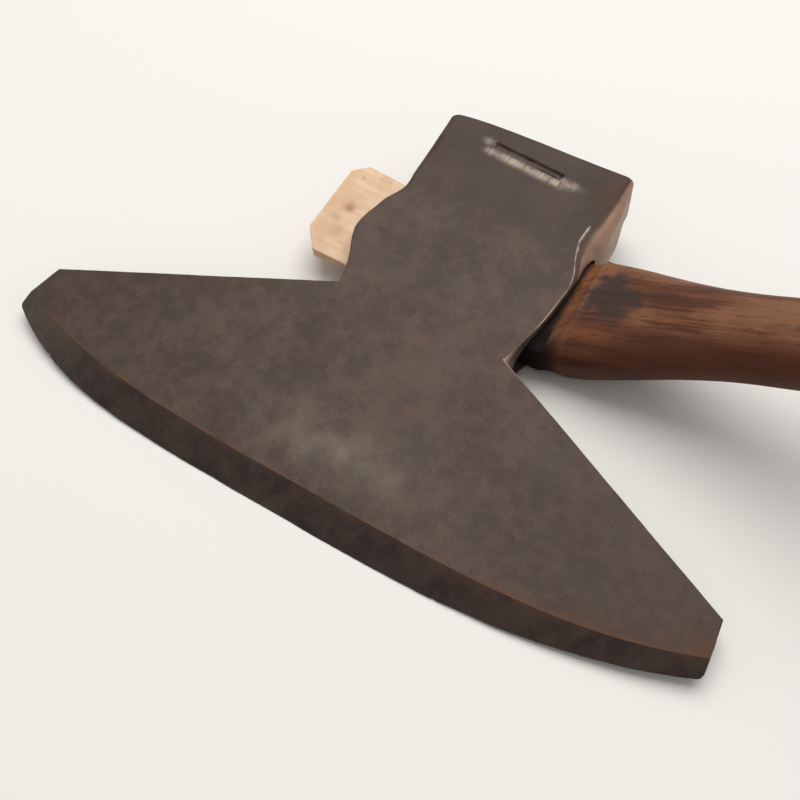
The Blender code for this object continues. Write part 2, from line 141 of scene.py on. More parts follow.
def closed_skin(name, rings, masks=None):
    """Closed mesh object from rings (rows, columns, 3), already laid in the world."""
    rows, columns = rings.shape[:2]
    index = np.arange(rows * columns).reshape(rows, columns)
    nxt = np.roll(index, -1, axis=1)
    quads = np.stack([index[:-1], nxt[:-1], nxt[1:], index[1:]], axis=-1).reshape(-1, 4)
    first, last = index[0][::-1], index[-1]
    points = rings.reshape(-1, 3)
    a, b, c, d = (points[quads[:, k]] for k in range(4))
    if np.einsum("ij,ij->i", a, np.cross(b, c) + np.cross(c, d)).sum() < 0.0:
        quads, first, last = quads[:, ::-1], first[::-1], last[::-1]
    sizes = np.concatenate([np.full(len(quads), 4), [columns, columns]])
    corners = np.concatenate([quads.ravel(), first, last])
    mesh = bpy.data.meshes.new(name)
    mesh.vertices.add(len(points))
    mesh.vertices.foreach_set("co", points.ravel())
    mesh.loops.add(len(corners))
    mesh.loops.foreach_set("vertex_index", corners)
    mesh.polygons.add(len(sizes))
    mesh.polygons.foreach_set("loop_start", np.concatenate([[0], np.cumsum(sizes)[:-1]]))
    mesh.update(calc_edges=True)
    for mask, values in (masks or {}).items():
        vector = values.ndim == 3
        layer = mesh.attributes.new(mask, "FLOAT_VECTOR" if vector else "FLOAT", "POINT")
        layer.data.foreach_set("vector" if vector else "value", values.ravel())
    obj = bpy.data.objects.new(name, mesh)
    bpy.context.scene.collection.objects.link(obj)
    print(name, len(points), "points,", int(sizes.sum() - 2 * len(sizes)), "triangles")
    return obj


def outward(rings):
    """Unit normals of a ring stack: cross product of the steps round and along the grid."""
    round_step = np.roll(rings, -1, axis=1) - np.roll(rings, 1, axis=1)
    normal = np.cross(round_step, np.gradient(rings, axis=0))
    normal /= np.maximum(np.linalg.norm(normal, axis=-1, keepdims=True), 1e-12)
    out = rings - rings.mean(axis=1, keepdims=True)
    return normal if (normal * out).sum() > 0.0 else -normal


def cut_out(piece, cutter):
    """Exact Boolean difference, applied at once; the cutter is removed."""
    modifier = piece.modifiers.new("cut", "BOOLEAN")
    modifier.operation, modifier.solver, modifier.object = "DIFFERENCE", "EXACT", cutter
    graph = bpy.context.evaluated_depsgraph_get()
    mesh = bpy.data.meshes.new_from_object(piece.evaluated_get(graph))
    piece.modifiers.clear()
    piece.data = mesh
    bpy.data.objects.remove(cutter, do_unlink=True)
    print(piece.name, "cut:", len(mesh.polygons), "faces")


def settle(piece, node, crease=32.0):
    """Keep a piece in its CAD node's box, crease it by angle, and let it stand for the node."""
    mesh = piece.data
    points = np.empty(len(mesh.vertices) * 3)
    mesh.vertices.foreach_get("co", points)
    low, high = (np.array(corner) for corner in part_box(node))
    inside = np.clip(points.reshape(-1, 3), low, high)
    moved = np.abs(inside - points.reshape(-1, 3)).max()
    mesh.vertices.foreach_set("co", inside.ravel())
    mesh.polygons.foreach_set("use_smooth", np.ones(len(mesh.polygons), dtype=bool))
    mesh.set_sharp_from_angle(angle=math.radians(crease))
    mesh.update()
    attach(piece, "root")
    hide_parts(node)
    print(piece.name, "stands for", node, "- clipped by", round(moved / MM, 3), "mm")


# %% [markdown]
# ## The head's own frame
#
# The axe lies on its cutting edge and on the pad under its eye, so its flat face is tipped by about
# ten degrees. The head is far easier to describe square on: x along the eye, y from the cutting edge
# to the poll, z out of the flat face. `lay` tips points from that frame into the world.

# %% Sizes and lie of the head
EDGE_CHORD, EDGE_SAG, EDGE_DEPTH = 304.0 * MM, 22.5 * MM, 5.0 * MM
BLADE_DEPTH, SWELL_Y = 9.5 * MM, 42.0 * MM
PAD_START, PAD_END, PAD_DEPTH = 100.0 * MM, 134.0 * MM, 33.0 * MM
LIE_SLOPE = (PAD_DEPTH - EDGE_DEPTH) / (PAD_END + EDGE_SAG)
LIE = math.atan(LIE_SLOPE)
PAD_MIDDLE = (PAD_START + PAD_END) / 2.0


def table_depth(y):
    """Depth of the ground below the flat face: edge depth plus slope times distance."""
    return EDGE_DEPTH + LIE_SLOPE * (y + EDGE_SAG)


DROP = EDGE_DEPTH * math.cos(LIE) + EDGE_SAG * math.sin(LIE)
PAD_SHIFT = PAD_MIDDLE * math.cos(LIE) + table_depth(PAD_MIDDLE) * math.sin(LIE)


def lay(points):
    """Tip head-frame points about x by LIE, then bring the pad's middle to the origin."""
    x, y, z = points[..., 0], points[..., 1], points[..., 2]
    return np.stack([x, y * math.cos(LIE) - z * math.sin(LIE) - PAD_SHIFT,
                     y * math.sin(LIE) + z * math.cos(LIE) + DROP], axis=-1)


print("tipped by", round(math.degrees(LIE), 2), "degrees")

# %% [markdown]
# ## Head: rows from the bevel to the poll
#
# A smith draws the head out of one bar, so it is natural to describe it as a bar of changing
# section. Each row says how high its middle and its ends stand, how wide the flat face is on
# either side, how thick the iron is and how round its corners are. All of them are whole arrays
# with one value per row.

# %% Outline and thickness as functions of height
TIP_THIN = 2.0 * MM
BEVEL_MID, BEVEL_TIP = 12.7 * MM, 7.0 * MM
BOW_LEFT, BOW_RIGHT, BOW_BEVEL = 4.4, 3.0, 3.7
TIP_RISE, INSET_LEFT, INSET_RIGHT = 21.0 * MM, 4.4 * MM, 2.2 * MM
TIP_LEFT, TIP_RIGHT = EDGE_CHORD / 2.0 - INSET_LEFT, EDGE_CHORD / 2.0 - INSET_RIGHT
LEAN = BEVEL_TIP / TIP_RISE
ARRIS_LEFT, ARRIS_RIGHT = EDGE_CHORD / 2.0 - INSET_LEFT * LEAN, EDGE_CHORD / 2.0 - INSET_RIGHT * LEAN
NECK_Y, NECK_HALF = 73.0 * MM, 39.0 * MM
LUG_LEFT, LUG_RIGHT = (103.0 * MM, 47.8 * MM), (112.0 * MM, 45.0 * MM)
NOTCH_Y, NOTCH_HALF = 135.0 * MM, 39.0 * MM
POLL_Y, POLL_HALF, POLL_DEPTH, POLL_CROWN = 173.0 * MM, 39.3 * MM, 27.0 * MM, 2.6 * MM
POLL_CHAMFER = 1.6 * MM
TOP = POLL_Y - POLL_CHAMFER


def under_depth(y):
    """Thickness on the centre line: linear blade, half-cosine swell, pad on the ground, poll."""
    blade = lerp(EDGE_DEPTH, BLADE_DEPTH, (y + EDGE_SAG) / (SWELL_Y + EDGE_SAG))
    swell = ease(BLADE_DEPTH, table_depth(PAD_START), (y - SWELL_Y) / (PAD_START - SWELL_Y))
    swell = np.minimum(swell, table_depth(y))
    poll = ease(PAD_DEPTH, POLL_DEPTH, (y - PAD_END) / (POLL_Y - PAD_END))
    return np.select([y < SWELL_Y, y < PAD_START, y <= PAD_END], [blade, swell, table_depth(y)], poll)


def lug_half(y, crest):
    """Half width above the neck: eased out to the crest, in to the notch, then straight."""
    top, half = crest
    rise = ease(NECK_HALF, half, (y - NECK_Y) / (top - NECK_Y))
    fall = ease(half, NOTCH_HALF, (y - top) / (NOTCH_Y - top))
    waist = lerp(NOTCH_HALF, POLL_HALF, (y - NOTCH_Y) / (POLL_Y - NOTCH_Y))
    return np.select([y < top, y < NOTCH_Y], [rise, fall], waist)


SCARF_MID = BEVEL_MID - EDGE_SAG + 36.0 * MM
SCARF_END = BEVEL_TIP + (TIP_RISE - BEVEL_TIP) / 2.0
ROW_MID = SCARF_MID + 4.0 * MM
print("head is", round((POLL_Y + POLL_CROWN + EDGE_SAG) / MM), "mm from edge to poll")

# %% [markdown]
# The lugs were cut with a hot chisel, so their edges are a chain of short facets rather than a
# smooth curve. `knocked` adds those facets: straight runs between a few corners, given as how far
# each corner stands out from the eased curve.

# %% Facets along the lugs


def knocked(y, right):
    """Piecewise straight offset of the outline, zero on the blade and at the poll."""
    if right:
        heights = np.array([70, 74, 92, 103, 109, 122, 132, 137, 147]) * MM
        offsets = np.array([0, 0.7, 1.0, 0.1, -0.1, 1.1, 0.7, -0.5, 0]) * MM
    else:
        heights = np.array([70, 76, 88, 99, 111, 119, 128, 136, 146]) * MM
        offsets = np.array([0, 0.4, -0.4, 0.3, -0.2, 0.6, -0.3, 0.5, 0]) * MM
    return np.interp(y, heights, offsets)


# %% Rows of the blade, the lugs and the poll


def blade_rows(start, stop, count):
    """Rows between two sets of values, all of them straight blends."""
    f = np.linspace(0.0, 1.0, count + 1)[:-1]
    return {key: lerp(start[key], stop[key], f) for key in start}


arris = dict(mid=BEVEL_MID - EDGE_SAG, end=BEVEL_TIP, low_mid=SCARF_MID, low_end=SCARF_END,
             left=ARRIS_LEFT, right=ARRIS_RIGHT, thin=TIP_THIN, wear=0.2 * MM)
shoulder = dict(mid=ROW_MID, end=TIP_RISE, low_mid=ROW_MID, low_end=TIP_RISE,
                left=TIP_LEFT, right=TIP_RIGHT, thin=TIP_THIN, wear=0.8 * MM)
neck = dict(mid=NECK_Y, end=NECK_Y, low_mid=NECK_Y, low_end=NECK_Y,
            left=NECK_HALF, right=NECK_HALF, thin=0.0, wear=0.8 * MM)
lower, upper = blade_rows(arris, shoulder, 52), blade_rows(shoulder, neck, 58)

roll_over = np.linspace(0.0, math.pi / 2.0, 6)[1:]
y = np.concatenate([np.linspace(NECK_Y, 156.0 * MM, 78)[:-1], np.linspace(156.0 * MM, TOP, 40),
                    TOP + POLL_CHAMFER * np.sin(roll_over)])
bow = POLL_CROWN * np.clip((y - PAD_END) / (TOP - PAD_END), 0.0, 1.0)
body = dict(mid=y + bow, end=y, low_mid=y + bow, low_end=y, left=lug_half(y, LUG_LEFT),
            right=lug_half(y, LUG_RIGHT), thin=0.0 * y, wear=0.0 * y + 0.8 * MM)
rows = {key: np.concatenate([lower[key], upper[key], body[key]]) for key in arris}
rows["depth"] = under_depth(np.where(rows["low_mid"] > NECK_Y, rows["end"], rows["low_mid"]))
print("head rows:", len(rows["mid"]))

# %% [markdown]
# The poll has been struck for years. Its sides swell past the flat face, its right corner is
# driven back into a lip, and its corners are round. The front corner of the right shoulder is
# filed to a small chamfer where it meets the neck.

# %% Swelling, rounding and the filed corner
h = np.maximum(rows["end"], 0.0)
share = ease(0.0, 1.0, (h - LUG_RIGHT[0]) / (NOTCH_Y + 10.0 * MM - LUG_RIGHT[0]))
lip = ease(0.0, 1.0, (h - 155.0 * MM) / (TOP - 155.0 * MM))
filed = 2.0 * MM * spot(h, 71.5 * MM, 5.5 * MM)
rows["left"] += knocked(h, False)
rows["right"] += knocked(h, True) + 2.2 * MM * lip - filed
rows["swell_left"] = 3.6 * MM * share
rows["swell_right"] = lerp(8.0 * MM * share, 2.6 * MM, lip) + filed
rows["rise"] = 3.2 * MM * lip
to_poll = np.minimum((h - NOTCH_Y) / (TOP - NOTCH_Y), 1.0)
rows["round_side"] = lerp(9.0 * MM, 3.0 * MM, to_poll) * share + filed
rows["round_low"] = ease(0.8 * MM, 3.0 * MM, (h - NECK_Y) / (6.0 * MM))
rows["inset"] = np.concatenate([0.0 * h[:-len(roll_over)], POLL_CHAMFER * (1.0 - np.cos(roll_over))])
print("widest:", round(float((rows["left"] + rows["right"]).max() / MM)), "mm")

# %% [markdown]
# ## Head: the ring of one row
#
# Round each row the surface runs left to right over the flat face, turns down the right wall, comes
# back underneath and up the left wall. `out` says how far out a point lies; raised to a power it
# bows the row, so that the middle of the blade leads just as the cutting edge does.

# %% Points of all the rings at once
TOP_COUNT, LOW_COUNT, ARC, WALL = 221, 81, 7, 9


def bowed(x, depth, under):
    """Points of a row at lateral x: its height blends from middle to end with |x / half|^3.7."""
    half = np.where(x > 0.0, wide_right, wide_left)
    out = np.minimum(np.abs(x) / half, 1.0) ** BOW_BEVEL
    mid = col["low_mid"] if under else col["mid"]
    end = (col["low_end"] if under else col["end"]) + np.where(x > 0.0, col["rise"], 0.0)
    return np.stack([x, lerp(mid, end, out), -depth + 0.0 * x], axis=-1)


col = {key: values[:, None] for key, values in rows.items()}
wide_left, wide_right = col["left"] + col["swell_left"], col["right"] + col["swell_right"]
left, right = wide_left - col["inset"], wide_right - col["inset"]
flat_left = left - col["swell_left"] - col["wear"]
flat_right = right - col["swell_right"] - col["wear"]
deep = np.maximum(col["wear"], col["round_side"])
low = col["depth"] - col["inset"]
end_low, soft = low - col["thin"], col["round_low"]
u = np.linspace(0.0, 1.0, TOP_COUNT)[None, :]
x_top = lerp(-flat_left, flat_right, 0.8 * u + 0.1 * (1.0 - np.cos(math.pi * u)))
x_low = lerp(right - soft, -left + soft, np.linspace(0.0, 1.0, LOW_COUNT)[None, :])
fall = np.abs(x_low) / np.where(x_low > 0.0, right, left)
a = math.pi / 2.0 * np.arange(1, ARC + 1)[None, :] / ARC
b = math.pi / 2.0 * np.arange(ARC)[None, :] / ARC
w = np.arange(1, WALL + 1)[None, :] / (WALL + 1.0)
wall = lerp(col["inset"] + deep, end_low - soft, w)


def walled(x):
    """Points of a side wall, leaning from the line of the face to the line of the underside."""
    return lerp(bowed(x, wall, False), bowed(x, wall, True), w[..., None])


head = np.concatenate([
    bowed(x_top, col["inset"], False),
    bowed(flat_right + (right - flat_right) * np.sin(a), col["inset"] + deep * (1.0 - np.cos(a)), False),
    walled(right + 0.0 * w),
    bowed(right - soft * (1.0 - np.cos(b)), end_low - soft * (1.0 - np.sin(b)), True),
    bowed(x_low, low - col["thin"] * fall ** 2, True),
    bowed(-left + soft * (1.0 - np.sin(a)), end_low - soft * (1.0 - np.cos(a)), True),
    walled(-left + 0.0 * w)[:, ::-1],
    bowed(-flat_left - (left - flat_left) * np.cos(b), col["inset"] + deep * (1.0 - np.sin(b)), False)],
    axis=1)
print("head grid:", head.shape)

# %% [markdown]
# ## Head: what hammer, stamp and use left behind
#
# Forging leaves broad shallow waves and, away from the ground blade, hammer cups. A stamped mark
# near the poll is only a bare slot here: a deep groove on the poll side, a shallow floor, and the
# tool's end marks. Some of the metal thrown up beside it was scraped bright.

# %% Dents, waves and the slot
MARK_Y, MARK_LENGTH, MARK_WIDTH, MARK_DEPTH = 163.6 * MM, 34.0 * MM, 3.2 * MM, 1.2 * MM
MARK_TURN = math.radians(-4.5)


def within(v, half, soft_edge):
    """1 inside |v| < half, falling to 0 over soft_edge."""
    return 1.0 - ease(0.0, 1.0, (np.abs(v) - half) / soft_edge)


def cups(points, count, box, radius, depth, seed):
    """Sum of shallow bowls: depth (1 - (r / R)^2)^2 inside R, centres at random in the box."""
    rng = np.random.default_rng(seed)
    centres = lerp(np.array(box[0]), np.array(box[1]), rng.random((count, 3)))
    total = np.zeros(points.shape[:-1])
    for centre, size in zip(centres, rng.random((count, 2))):
        r = np.linalg.norm(points - centre, axis=-1) / lerp(radius[0], radius[1], size[0])
        total += np.where(r < 1.0, (1.0 - r * r) ** 2, 0.0) * depth * lerp(0.4, 1.0, size[1])
    return total


x, y, z = head[..., 0], head[..., 1], head[..., 2]
along = x * math.cos(MARK_TURN) + (y - MARK_Y) * math.sin(MARK_TURN)
across = -x * math.sin(MARK_TURN) + (y - MARK_Y) * math.cos(MARK_TURN)
on_face = np.zeros(x.shape)
on_face[:, :TOP_COUNT] = 1.0
ends = within(along, MARK_LENGTH / 2.0 - 0.3 * MM, 0.6 * MM)
slot = 0.22 * within(across, MARK_WIDTH / 2.0 - 0.3 * MM, 0.8 * MM)
slot += 0.8 * spot(across, 1.1 * MM, 0.48 * MM) * (0.85 + 0.25 * rough(head, 4.0 * MM, 29))
slot += 0.4 * spot(across, -1.3 * MM, 0.36 * MM) * ease(0.0, 1.0, (along - 1.0 * MM) / (7.0 * MM))
slot += 0.5 * spot(along, MARK_LENGTH / 2.0 - 0.9 * MM, 0.45 * MM) * within(across, 1.2 * MM, 0.6 * MM)
slot += (0.35 * spot(along, 1.0 * MM - MARK_LENGTH / 2.0, 0.5 * MM)
         * within(across - 0.8 * MM, 1.4 * MM, 0.5 * MM))
slot = MARK_DEPTH * np.minimum(slot, 1.15) * ends * on_face
print("slot is", round(float(slot.max() / MM), 2), "mm deep")

# %% [markdown]
# The masks say where the patina has gone. `worn` is bright metal on the corners that hands and
# benches rub, strongest along the right lug. The bare-metal mask is scraped metal beside the slot,
# and it also carries a painted sheen: a broad lighter patch low in the middle of the blade. `rust`
# is the warm brown that gathers along the bevel and at the corners. `buff` makes the right wall of
# the poll and the small chamfer at the neck a lighter tan. The age mask darkens the iron to a
# reddish brown towards the poll and the ends of the blade, and least in the middle. That darkening
# is partly painted shade, where the lamp's sheen falls off.

# %% Wear masks of the head
edge_right = np.abs(x - flat_right) + np.abs(np.minimum(z + 0.2 * MM + col["inset"], 0.0))
edge_left = np.abs(x + flat_left) + np.abs(np.minimum(z + 0.2 * MM + col["inset"], 0.0))
fine = rough(head, 3.0 * MM, 11)
patchy = rough(head, 9.0 * MM, 21)
lug_line = within(y - 110.0 * MM, 33.0 * MM, 6.0 * MM) * np.clip(0.72 + 0.25 * fine, 0.0, 1.0)
lug_line *= lerp(0.55, 1.0, ease(0.0, 1.0, (y - 84.0 * MM) / (14.0 * MM)))
lip_line = ease(0.0, 1.0, (y - 163.0 * MM) / (7.0 * MM)) * np.clip(0.4 + 0.7 * fine, 0.0, 1.0)
worn = np.exp(-(edge_right / (0.28 * MM)) ** 2) * np.maximum(lug_line, 0.7 * lip_line)
worn += 0.35 * np.exp(-(edge_left / (0.3 * MM)) ** 2) * np.clip(0.3 + fine, 0.0, 1.0)
streaks = lattice(np.stack([along, across / 6.0, 0.0 * z], axis=-1), 0.55 * MM, 31)
below = within(along - 1.0 * MM, 15.0 * MM, 11.0 * MM) * spot(across, -3.9 * MM, 2.3 * MM)
beside = spot(along, 20.5 * MM, 7.0 * MM) * spot(across, -1.8 * MM, 2.3 * MM)
beyond = spot(along, -20.0 * MM, 4.0 * MM) * spot(across, 0.2 * MM, 2.4 * MM)
ridge_line = within(along - 2.0 * MM, 17.0 * MM, 4.0 * MM) * spot(across, -2.2 * MM, 0.45 * MM) * 0.7
scraped = np.maximum(np.maximum(below, beside), np.maximum(0.75 * beyond, ridge_line)) * on_face
scraped *= np.clip(0.74 + 0.24 * streaks + 0.22 * fine, 0.0, 1.0)
# Painted sheen: a broad lighter patch of bright metal low in the middle of the blade; it also thins the
# darkening below.
sheen_patch = spot(x, 2.0 * MM, 46.0 * MM) * spot(y, 10.0 * MM, 15.0 * MM) * on_face
bare_and_sheen = scraped + sheen_patch * np.clip(0.28 + 0.14 * patchy, 0.0, 1.0) * (1.0 - scraped)
reach = np.minimum(np.abs(x) / np.where(x > 0.0, ARRIS_RIGHT, ARRIS_LEFT), 1.0)
bevel_y = lerp(arris["mid"], arris["end"], reach ** BOW_BEVEL)
bevel_gap = np.maximum(y - bevel_y, 0.0)
rust = spot(bevel_gap, 0.0, 1.3 * MM) * np.clip(0.45 + 0.6 * patchy, 0.0, 1.0)
rust += spot(x, 118.0 * MM, 34.0 * MM) * spot(bevel_gap, 1.0 * MM, 5.0 * MM) * 0.45
for at_x, wide, at_y, tall, share in ((147.0, 10.0, 10.0, 7.0, 0.5), (39.0, 8.0, 165.0, 11.0, 0.8),
                                      (-37.0, 6.0, 152.0, 9.0, 0.45)):
    rust += spot(x, at_x * MM, wide * MM) * spot(y, at_y * MM, tall * MM) * share
rust = np.clip(rust * (0.85 + 0.35 * patchy), 0.0, 1.0)
on_wall = np.zeros(x.shape)
on_wall[:, TOP_COUNT:TOP_COUNT + 2 * ARC + WALL] = 1.0
# Lighter tan on the right wall of the poll and on the small chamfer at the neck.
buff = on_wall * ease(0.0, 1.0, (y - 114.0 * MM) / (10.0 * MM))
buff *= ease(0.0, 1.0, (-z - 0.25 * MM) / (1.1 * MM))
buff += on_wall * spot(y, 71.0 * MM, 7.0 * MM) * 0.8
buff = np.clip(buff * (0.85 + 0.3 * patchy), 0.0, 1.0)
# Darker reddish iron towards the poll and the ends of the blade: partly painted shade where the lamp's sheen
# falls off, least in the middle.
oxide_and_shade = ease(0.0, 1.0, (y - 118.0 * MM) / (30.0 * MM)) * 0.85 + spot(np.abs(x), 150.0 * MM, 75.0 * MM) * 0.55
oxide_and_shade = np.clip(oxide_and_shade * (0.9 + 0.2 * patchy) * (1.0 - 0.6 * sheen_patch), 0.0, 1.0)
print("worn, bare, rust, buff:", [round(float(m.mean()), 4) for m in (worn, bare_and_sheen, rust, buff)])

# %% Move the head's points along their normals
waves = 0.16 * MM * rough(head, 30.0 * MM, 41) + 0.04 * MM * rough(head, 7.0 * MM, 51)
forged = ease(0.0, 1.0, (y - 60.0 * MM) / (40.0 * MM)) + np.where(z < -1.5 * MM, 0.6, 0.0) * (y > TIP_RISE)
hammered = cups(head, 90, ((-0.05, 0.05, -0.035), (0.05, 0.18, 0.0)), (6.0 * MM, 15.0 * MM), 0.22 * MM, 61)
pitted = cups(head, 34, ((-0.15, -0.01, -0.001), (0.15, 0.17, 0.001)), (0.8 * MM, 3.6 * MM), 0.09 * MM, 71)
notable = 0.35 * MM * (spot(np.hypot(x + 9.0 * MM, y - 36.5 * MM), 0.0, 1.9 * MM)
                       + spot(np.hypot(x + 29.0 * MM, y - 6.0 * MM), 0.0, 1.7 * MM)) * on_face
burr = 0.16 * MM * scraped * streaks
chipped = 0.25 * MM * np.maximum(worn, 0.0) * np.abs(fine)
sink = slot + np.clip(forged, 0.0, 1.0) * hammered + pitted * on_face + notable + chipped - burr
normal = outward(head)
head = head + normal * (waves * ease(0.15, 1.0, (bevel_gap - 1.0 * MM) / (25.0 * MM)) - sink)[..., None]
print("deepest dent:", round(float(sink.max() / MM), 2), "mm")

# %% [markdown]
# The stack still needs its two ends. Squeezing the end rings towards the line halfway between face
# and underside closes them with neat quads. At the poll those rings become the struck face, so
# they get hammer marks too.

# %% Close the scarf and the struck face


def shut(ring, shares):
    """Copies of a ring, each moved by its share towards the mid line at the same x."""
    upper_side = ring[:TOP_COUNT]
    under_start = TOP_COUNT + 2 * ARC + WALL
    under_side = ring[under_start:under_start + LOW_COUNT][::-1]
    half = np.ptp(ring[:, 2]) / 2.0
    x = np.clip(ring[:, 0], ring[:, 0].min() + half, ring[:, 0].max() - half)
    middle = [np.interp(x, side[:, 0], side[:, k]) for k in (1, 2) for side in (upper_side, under_side)]
    target = np.stack([x, (middle[0] + middle[1]) / 2.0, (middle[2] + middle[3]) / 2.0], axis=-1)
    return ring + (target - ring) * np.asarray(shares)[:, None, None]


STRUCK_ROWS = 15
scarf = shut(head[0], [0.995, 0.6, 0.15])
struck = shut(head[-1], np.linspace(0.06, 0.99, STRUCK_ROWS))
blows = cups(struck, 46, ((-0.045, 0.170, -0.030), (0.048, 0.178, 0.0)), (3.0 * MM, 8.0 * MM), 0.5 * MM, 81)
inner = ease(0.0, 1.0, np.linspace(0.0, 3.0, STRUCK_ROWS))[:, None]
struck[..., 1] -= (blows + 0.12 * MM * np.abs(rough(struck, 3.0 * MM, 91))) * inner
head_points = np.concatenate([scarf, head, struck])


def carried(mask, at_poll):
    """A mask for the closing rings too: nothing in the scarf, at_poll on the struck face."""
    return np.concatenate([np.zeros(scarf.shape[:2]), mask, np.broadcast_to(at_poll, struck.shape[:2])])


peened = np.clip(0.16 + 0.25 * rough(struck, 5.0 * MM, 95), 0.0, 1.0)
masks = {"worn": carried(np.clip(worn, 0.0, 1.0), 0.0), "bare_and_sheen": carried(bare_and_sheen, peened),
         "rust": carried(rust, 0.25), "buff": carried(buff, 0.0), "oxide_and_shade": carried(oxide_and_shade, 0.8)}
head_skin = closed_skin("head_skin", lay(head_points), masks)

# %% [markdown]
# ## Head: the eye
#
# The eye is drifted through the hot iron from both sides, so it is a flattened oval that flares a
# little at its mouths. It is cut with one Boolean from a cutter that is never smaller than the CAD
# eye, so the haft keeps its clearance.

# %% Cut the eye
EYE_FRONT, EYE_BACK, EYE_HEIGHT, ROOF = 77.0 * MM, 137.0 * MM, 22.0 * MM, 3.5 * MM
EYE_Z = -(ROOF + EYE_HEIGHT / 2.0)
EYE_SQUARE, EYE_TAPER, EYE_COUNT = 3.2, 0.45, 96


def oval(front, back_y, height, count=EYE_COUNT):
    """(y, z) of a superellipse with exponent 3.2, its lower half shallower to the front."""
    t = 2.0 * math.pi * np.arange(count) / count
    c, s = np.cos(t), np.sin(t)
    across = np.sign(c) * np.abs(c) ** (2.0 / EYE_SQUARE)
    rise = np.sign(s) * np.abs(s) ** (2.0 / EYE_SQUARE) * height / 2.0
    rise = np.where(rise < 0.0, rise * (1.0 - EYE_TAPER * (1.0 - across) / 2.0), rise)
    return np.stack([(front + back_y) / 2.0 + (back_y - front) / 2.0 * across, EYE_Z + rise], axis=-1)


x = np.linspace(-56.0, 56.0, 113) * MM
eye = np.broadcast_to(oval(EYE_FRONT, EYE_BACK, EYE_HEIGHT), (len(x), EYE_COUNT, 2))
eye = np.concatenate([np.broadcast_to(x[:, None, None], (len(x), EYE_COUNT, 1)), eye], axis=-1)
flare = 0.5 * MM * ease(0.0, 1.0, (np.abs(x) - 34.0 * MM) / (12.0 * MM))[:, None]
drifted = 0.12 * MM * (1.0 + rough(eye, 6.0 * MM, 101, 2) / 1.5) + flare
eye = eye + outward(eye) * np.maximum(drifted, 0.0)[..., None]
cut_out(head_skin, closed_skin("drift", lay(eye)))
settle(head_skin, "head_body")

# %% [markdown]
# ## Bit: the laid steel
#
# A strip of steel is welded under the front of the blade and ground to a single bevel. Its section
# goes from the cutting edge up the bevel, down the scarf where it meets the iron, and back under
# the blade. The grid carries that section along the edge; the corners at both ends are rounded
# from years of sharpening, and one small nick is left in the edge.

# %% Section of the steel along the edge
LAND_COUNT, BEVEL_COUNT = 3, 30
u = np.linspace(-1.0, 1.0, 561)
u = 0.85 * u + 0.15 * np.sin(math.pi / 2.0 * u)
out = np.abs(u)
half_edge = EDGE_CHORD / 2.0
half_back = np.where(u > 0.0, ARRIS_RIGHT, ARRIS_LEFT)
from_end = (1.0 - out) * half_edge
blunt = np.where(u > 0.0, 1.6 * MM, 1.1 * MM)
corner = blunt - np.sqrt(np.maximum(blunt ** 2 - np.maximum(blunt - from_end, 0.0) ** 2, 0.0))
thin = TIP_THIN * out ** 2
at_edge = np.stack([u * half_edge, 0.0 * u, 0.0 * u], axis=-1)
jitter = rough(at_edge, 12.0 * MM, 111) * 0.12 * MM + rough(at_edge, 2.2 * MM, 121) * 0.05 * MM
nick = (0.7 * MM * spot(u * half_edge, -126.0 * MM, 0.9 * MM)
        + 0.3 * MM * spot(u * half_edge, 61.0 * MM, 0.7 * MM))
edge_y = (lerp(-EDGE_SAG, 0.0, out ** np.where(u > 0.0, BOW_RIGHT, BOW_LEFT))
          + corner + nick + 0.1 * MM + jitter * 0.8)
edge_z = thin - EDGE_DEPTH
lean_in = corner / BEVEL_TIP
edge = np.stack([u * lerp(half_edge, half_back, lean_in), edge_y, lerp(edge_z, 0.0 * u, lean_in)], axis=-1)
land = edge + np.array([0.0, 0.15, 0.4]) * MM
arris_line = np.stack([u * half_back, lerp(arris["mid"], arris["end"], out ** BOW_BEVEL), 0.0 * u], axis=-1)
heel = np.stack([u * half_back, lerp(SCARF_MID, SCARF_END, out ** BOW_BEVEL),
                 thin - under_depth(np.array(SCARF_MID))], axis=-1)
bevel_way, scarf_way = land - arris_line, heel - arris_line
bevel_way /= np.linalg.norm(bevel_way, axis=-1, keepdims=True)
slope = np.arctan2(-scarf_way[:, 2], scarf_way[:, 1])
top_edge = arris_line + bevel_way * 0.10 * MM
heel[:, 1] -= 0.3 * MM / np.sin(slope)
print("bevel is", round(float(np.linalg.norm(land - arris_line, axis=-1).max() / MM), 1), "mm wide")

# %% Bevel, scarf and underside as one grid


def between(start, stop, count, belly=0.0):
    """count points from start to stop, bowed upwards by belly 4 f (1 - f)."""
    f = np.linspace(0.0, 1.0, count, endpoint=False)[None, :, None]
    points = lerp(start[:, None], stop[:, None], f)
    points[..., 2] += belly * (4.0 * f * (1.0 - f))[..., 0]
    return points


bit = np.concatenate([between(edge, land, LAND_COUNT), between(land, top_edge, BEVEL_COUNT, 0.10 * MM),
                      between(top_edge, heel, 14), between(heel, edge, 20)], axis=1)
part = np.arange(bit.shape[1])
on_bevel = ((part >= LAND_COUNT) & (part <= LAND_COUNT + BEVEL_COUNT))[None, :]
honed_f = np.clip((part - LAND_COUNT) / BEVEL_COUNT, 0.0, 1.0)[None, :]
ground = 0.05 * MM * rough(bit * [1.0, 0.5, 1.0], 9.0 * MM, 131) - 0.03 * MM
stoned = cups(bit, 40, ((-0.15, -0.022, -0.004), (0.15, 0.006, 0.0)), (1.5 * MM, 4.0 * MM), 0.10 * MM, 141)
bit = bit + outward(bit) * ((ground - stoned) * on_bevel * np.sin(math.pi * honed_f) ** 0.5)[..., None]
middle = bit.mean(axis=1, keepdims=True)
tucked = np.array([0.97, 0.5, 0.12])[:, None, None]
end_left = lerp(bit[:1], middle[:1], tucked)
end_right = lerp(bit[-1:], middle[-1:], tucked[::-1])
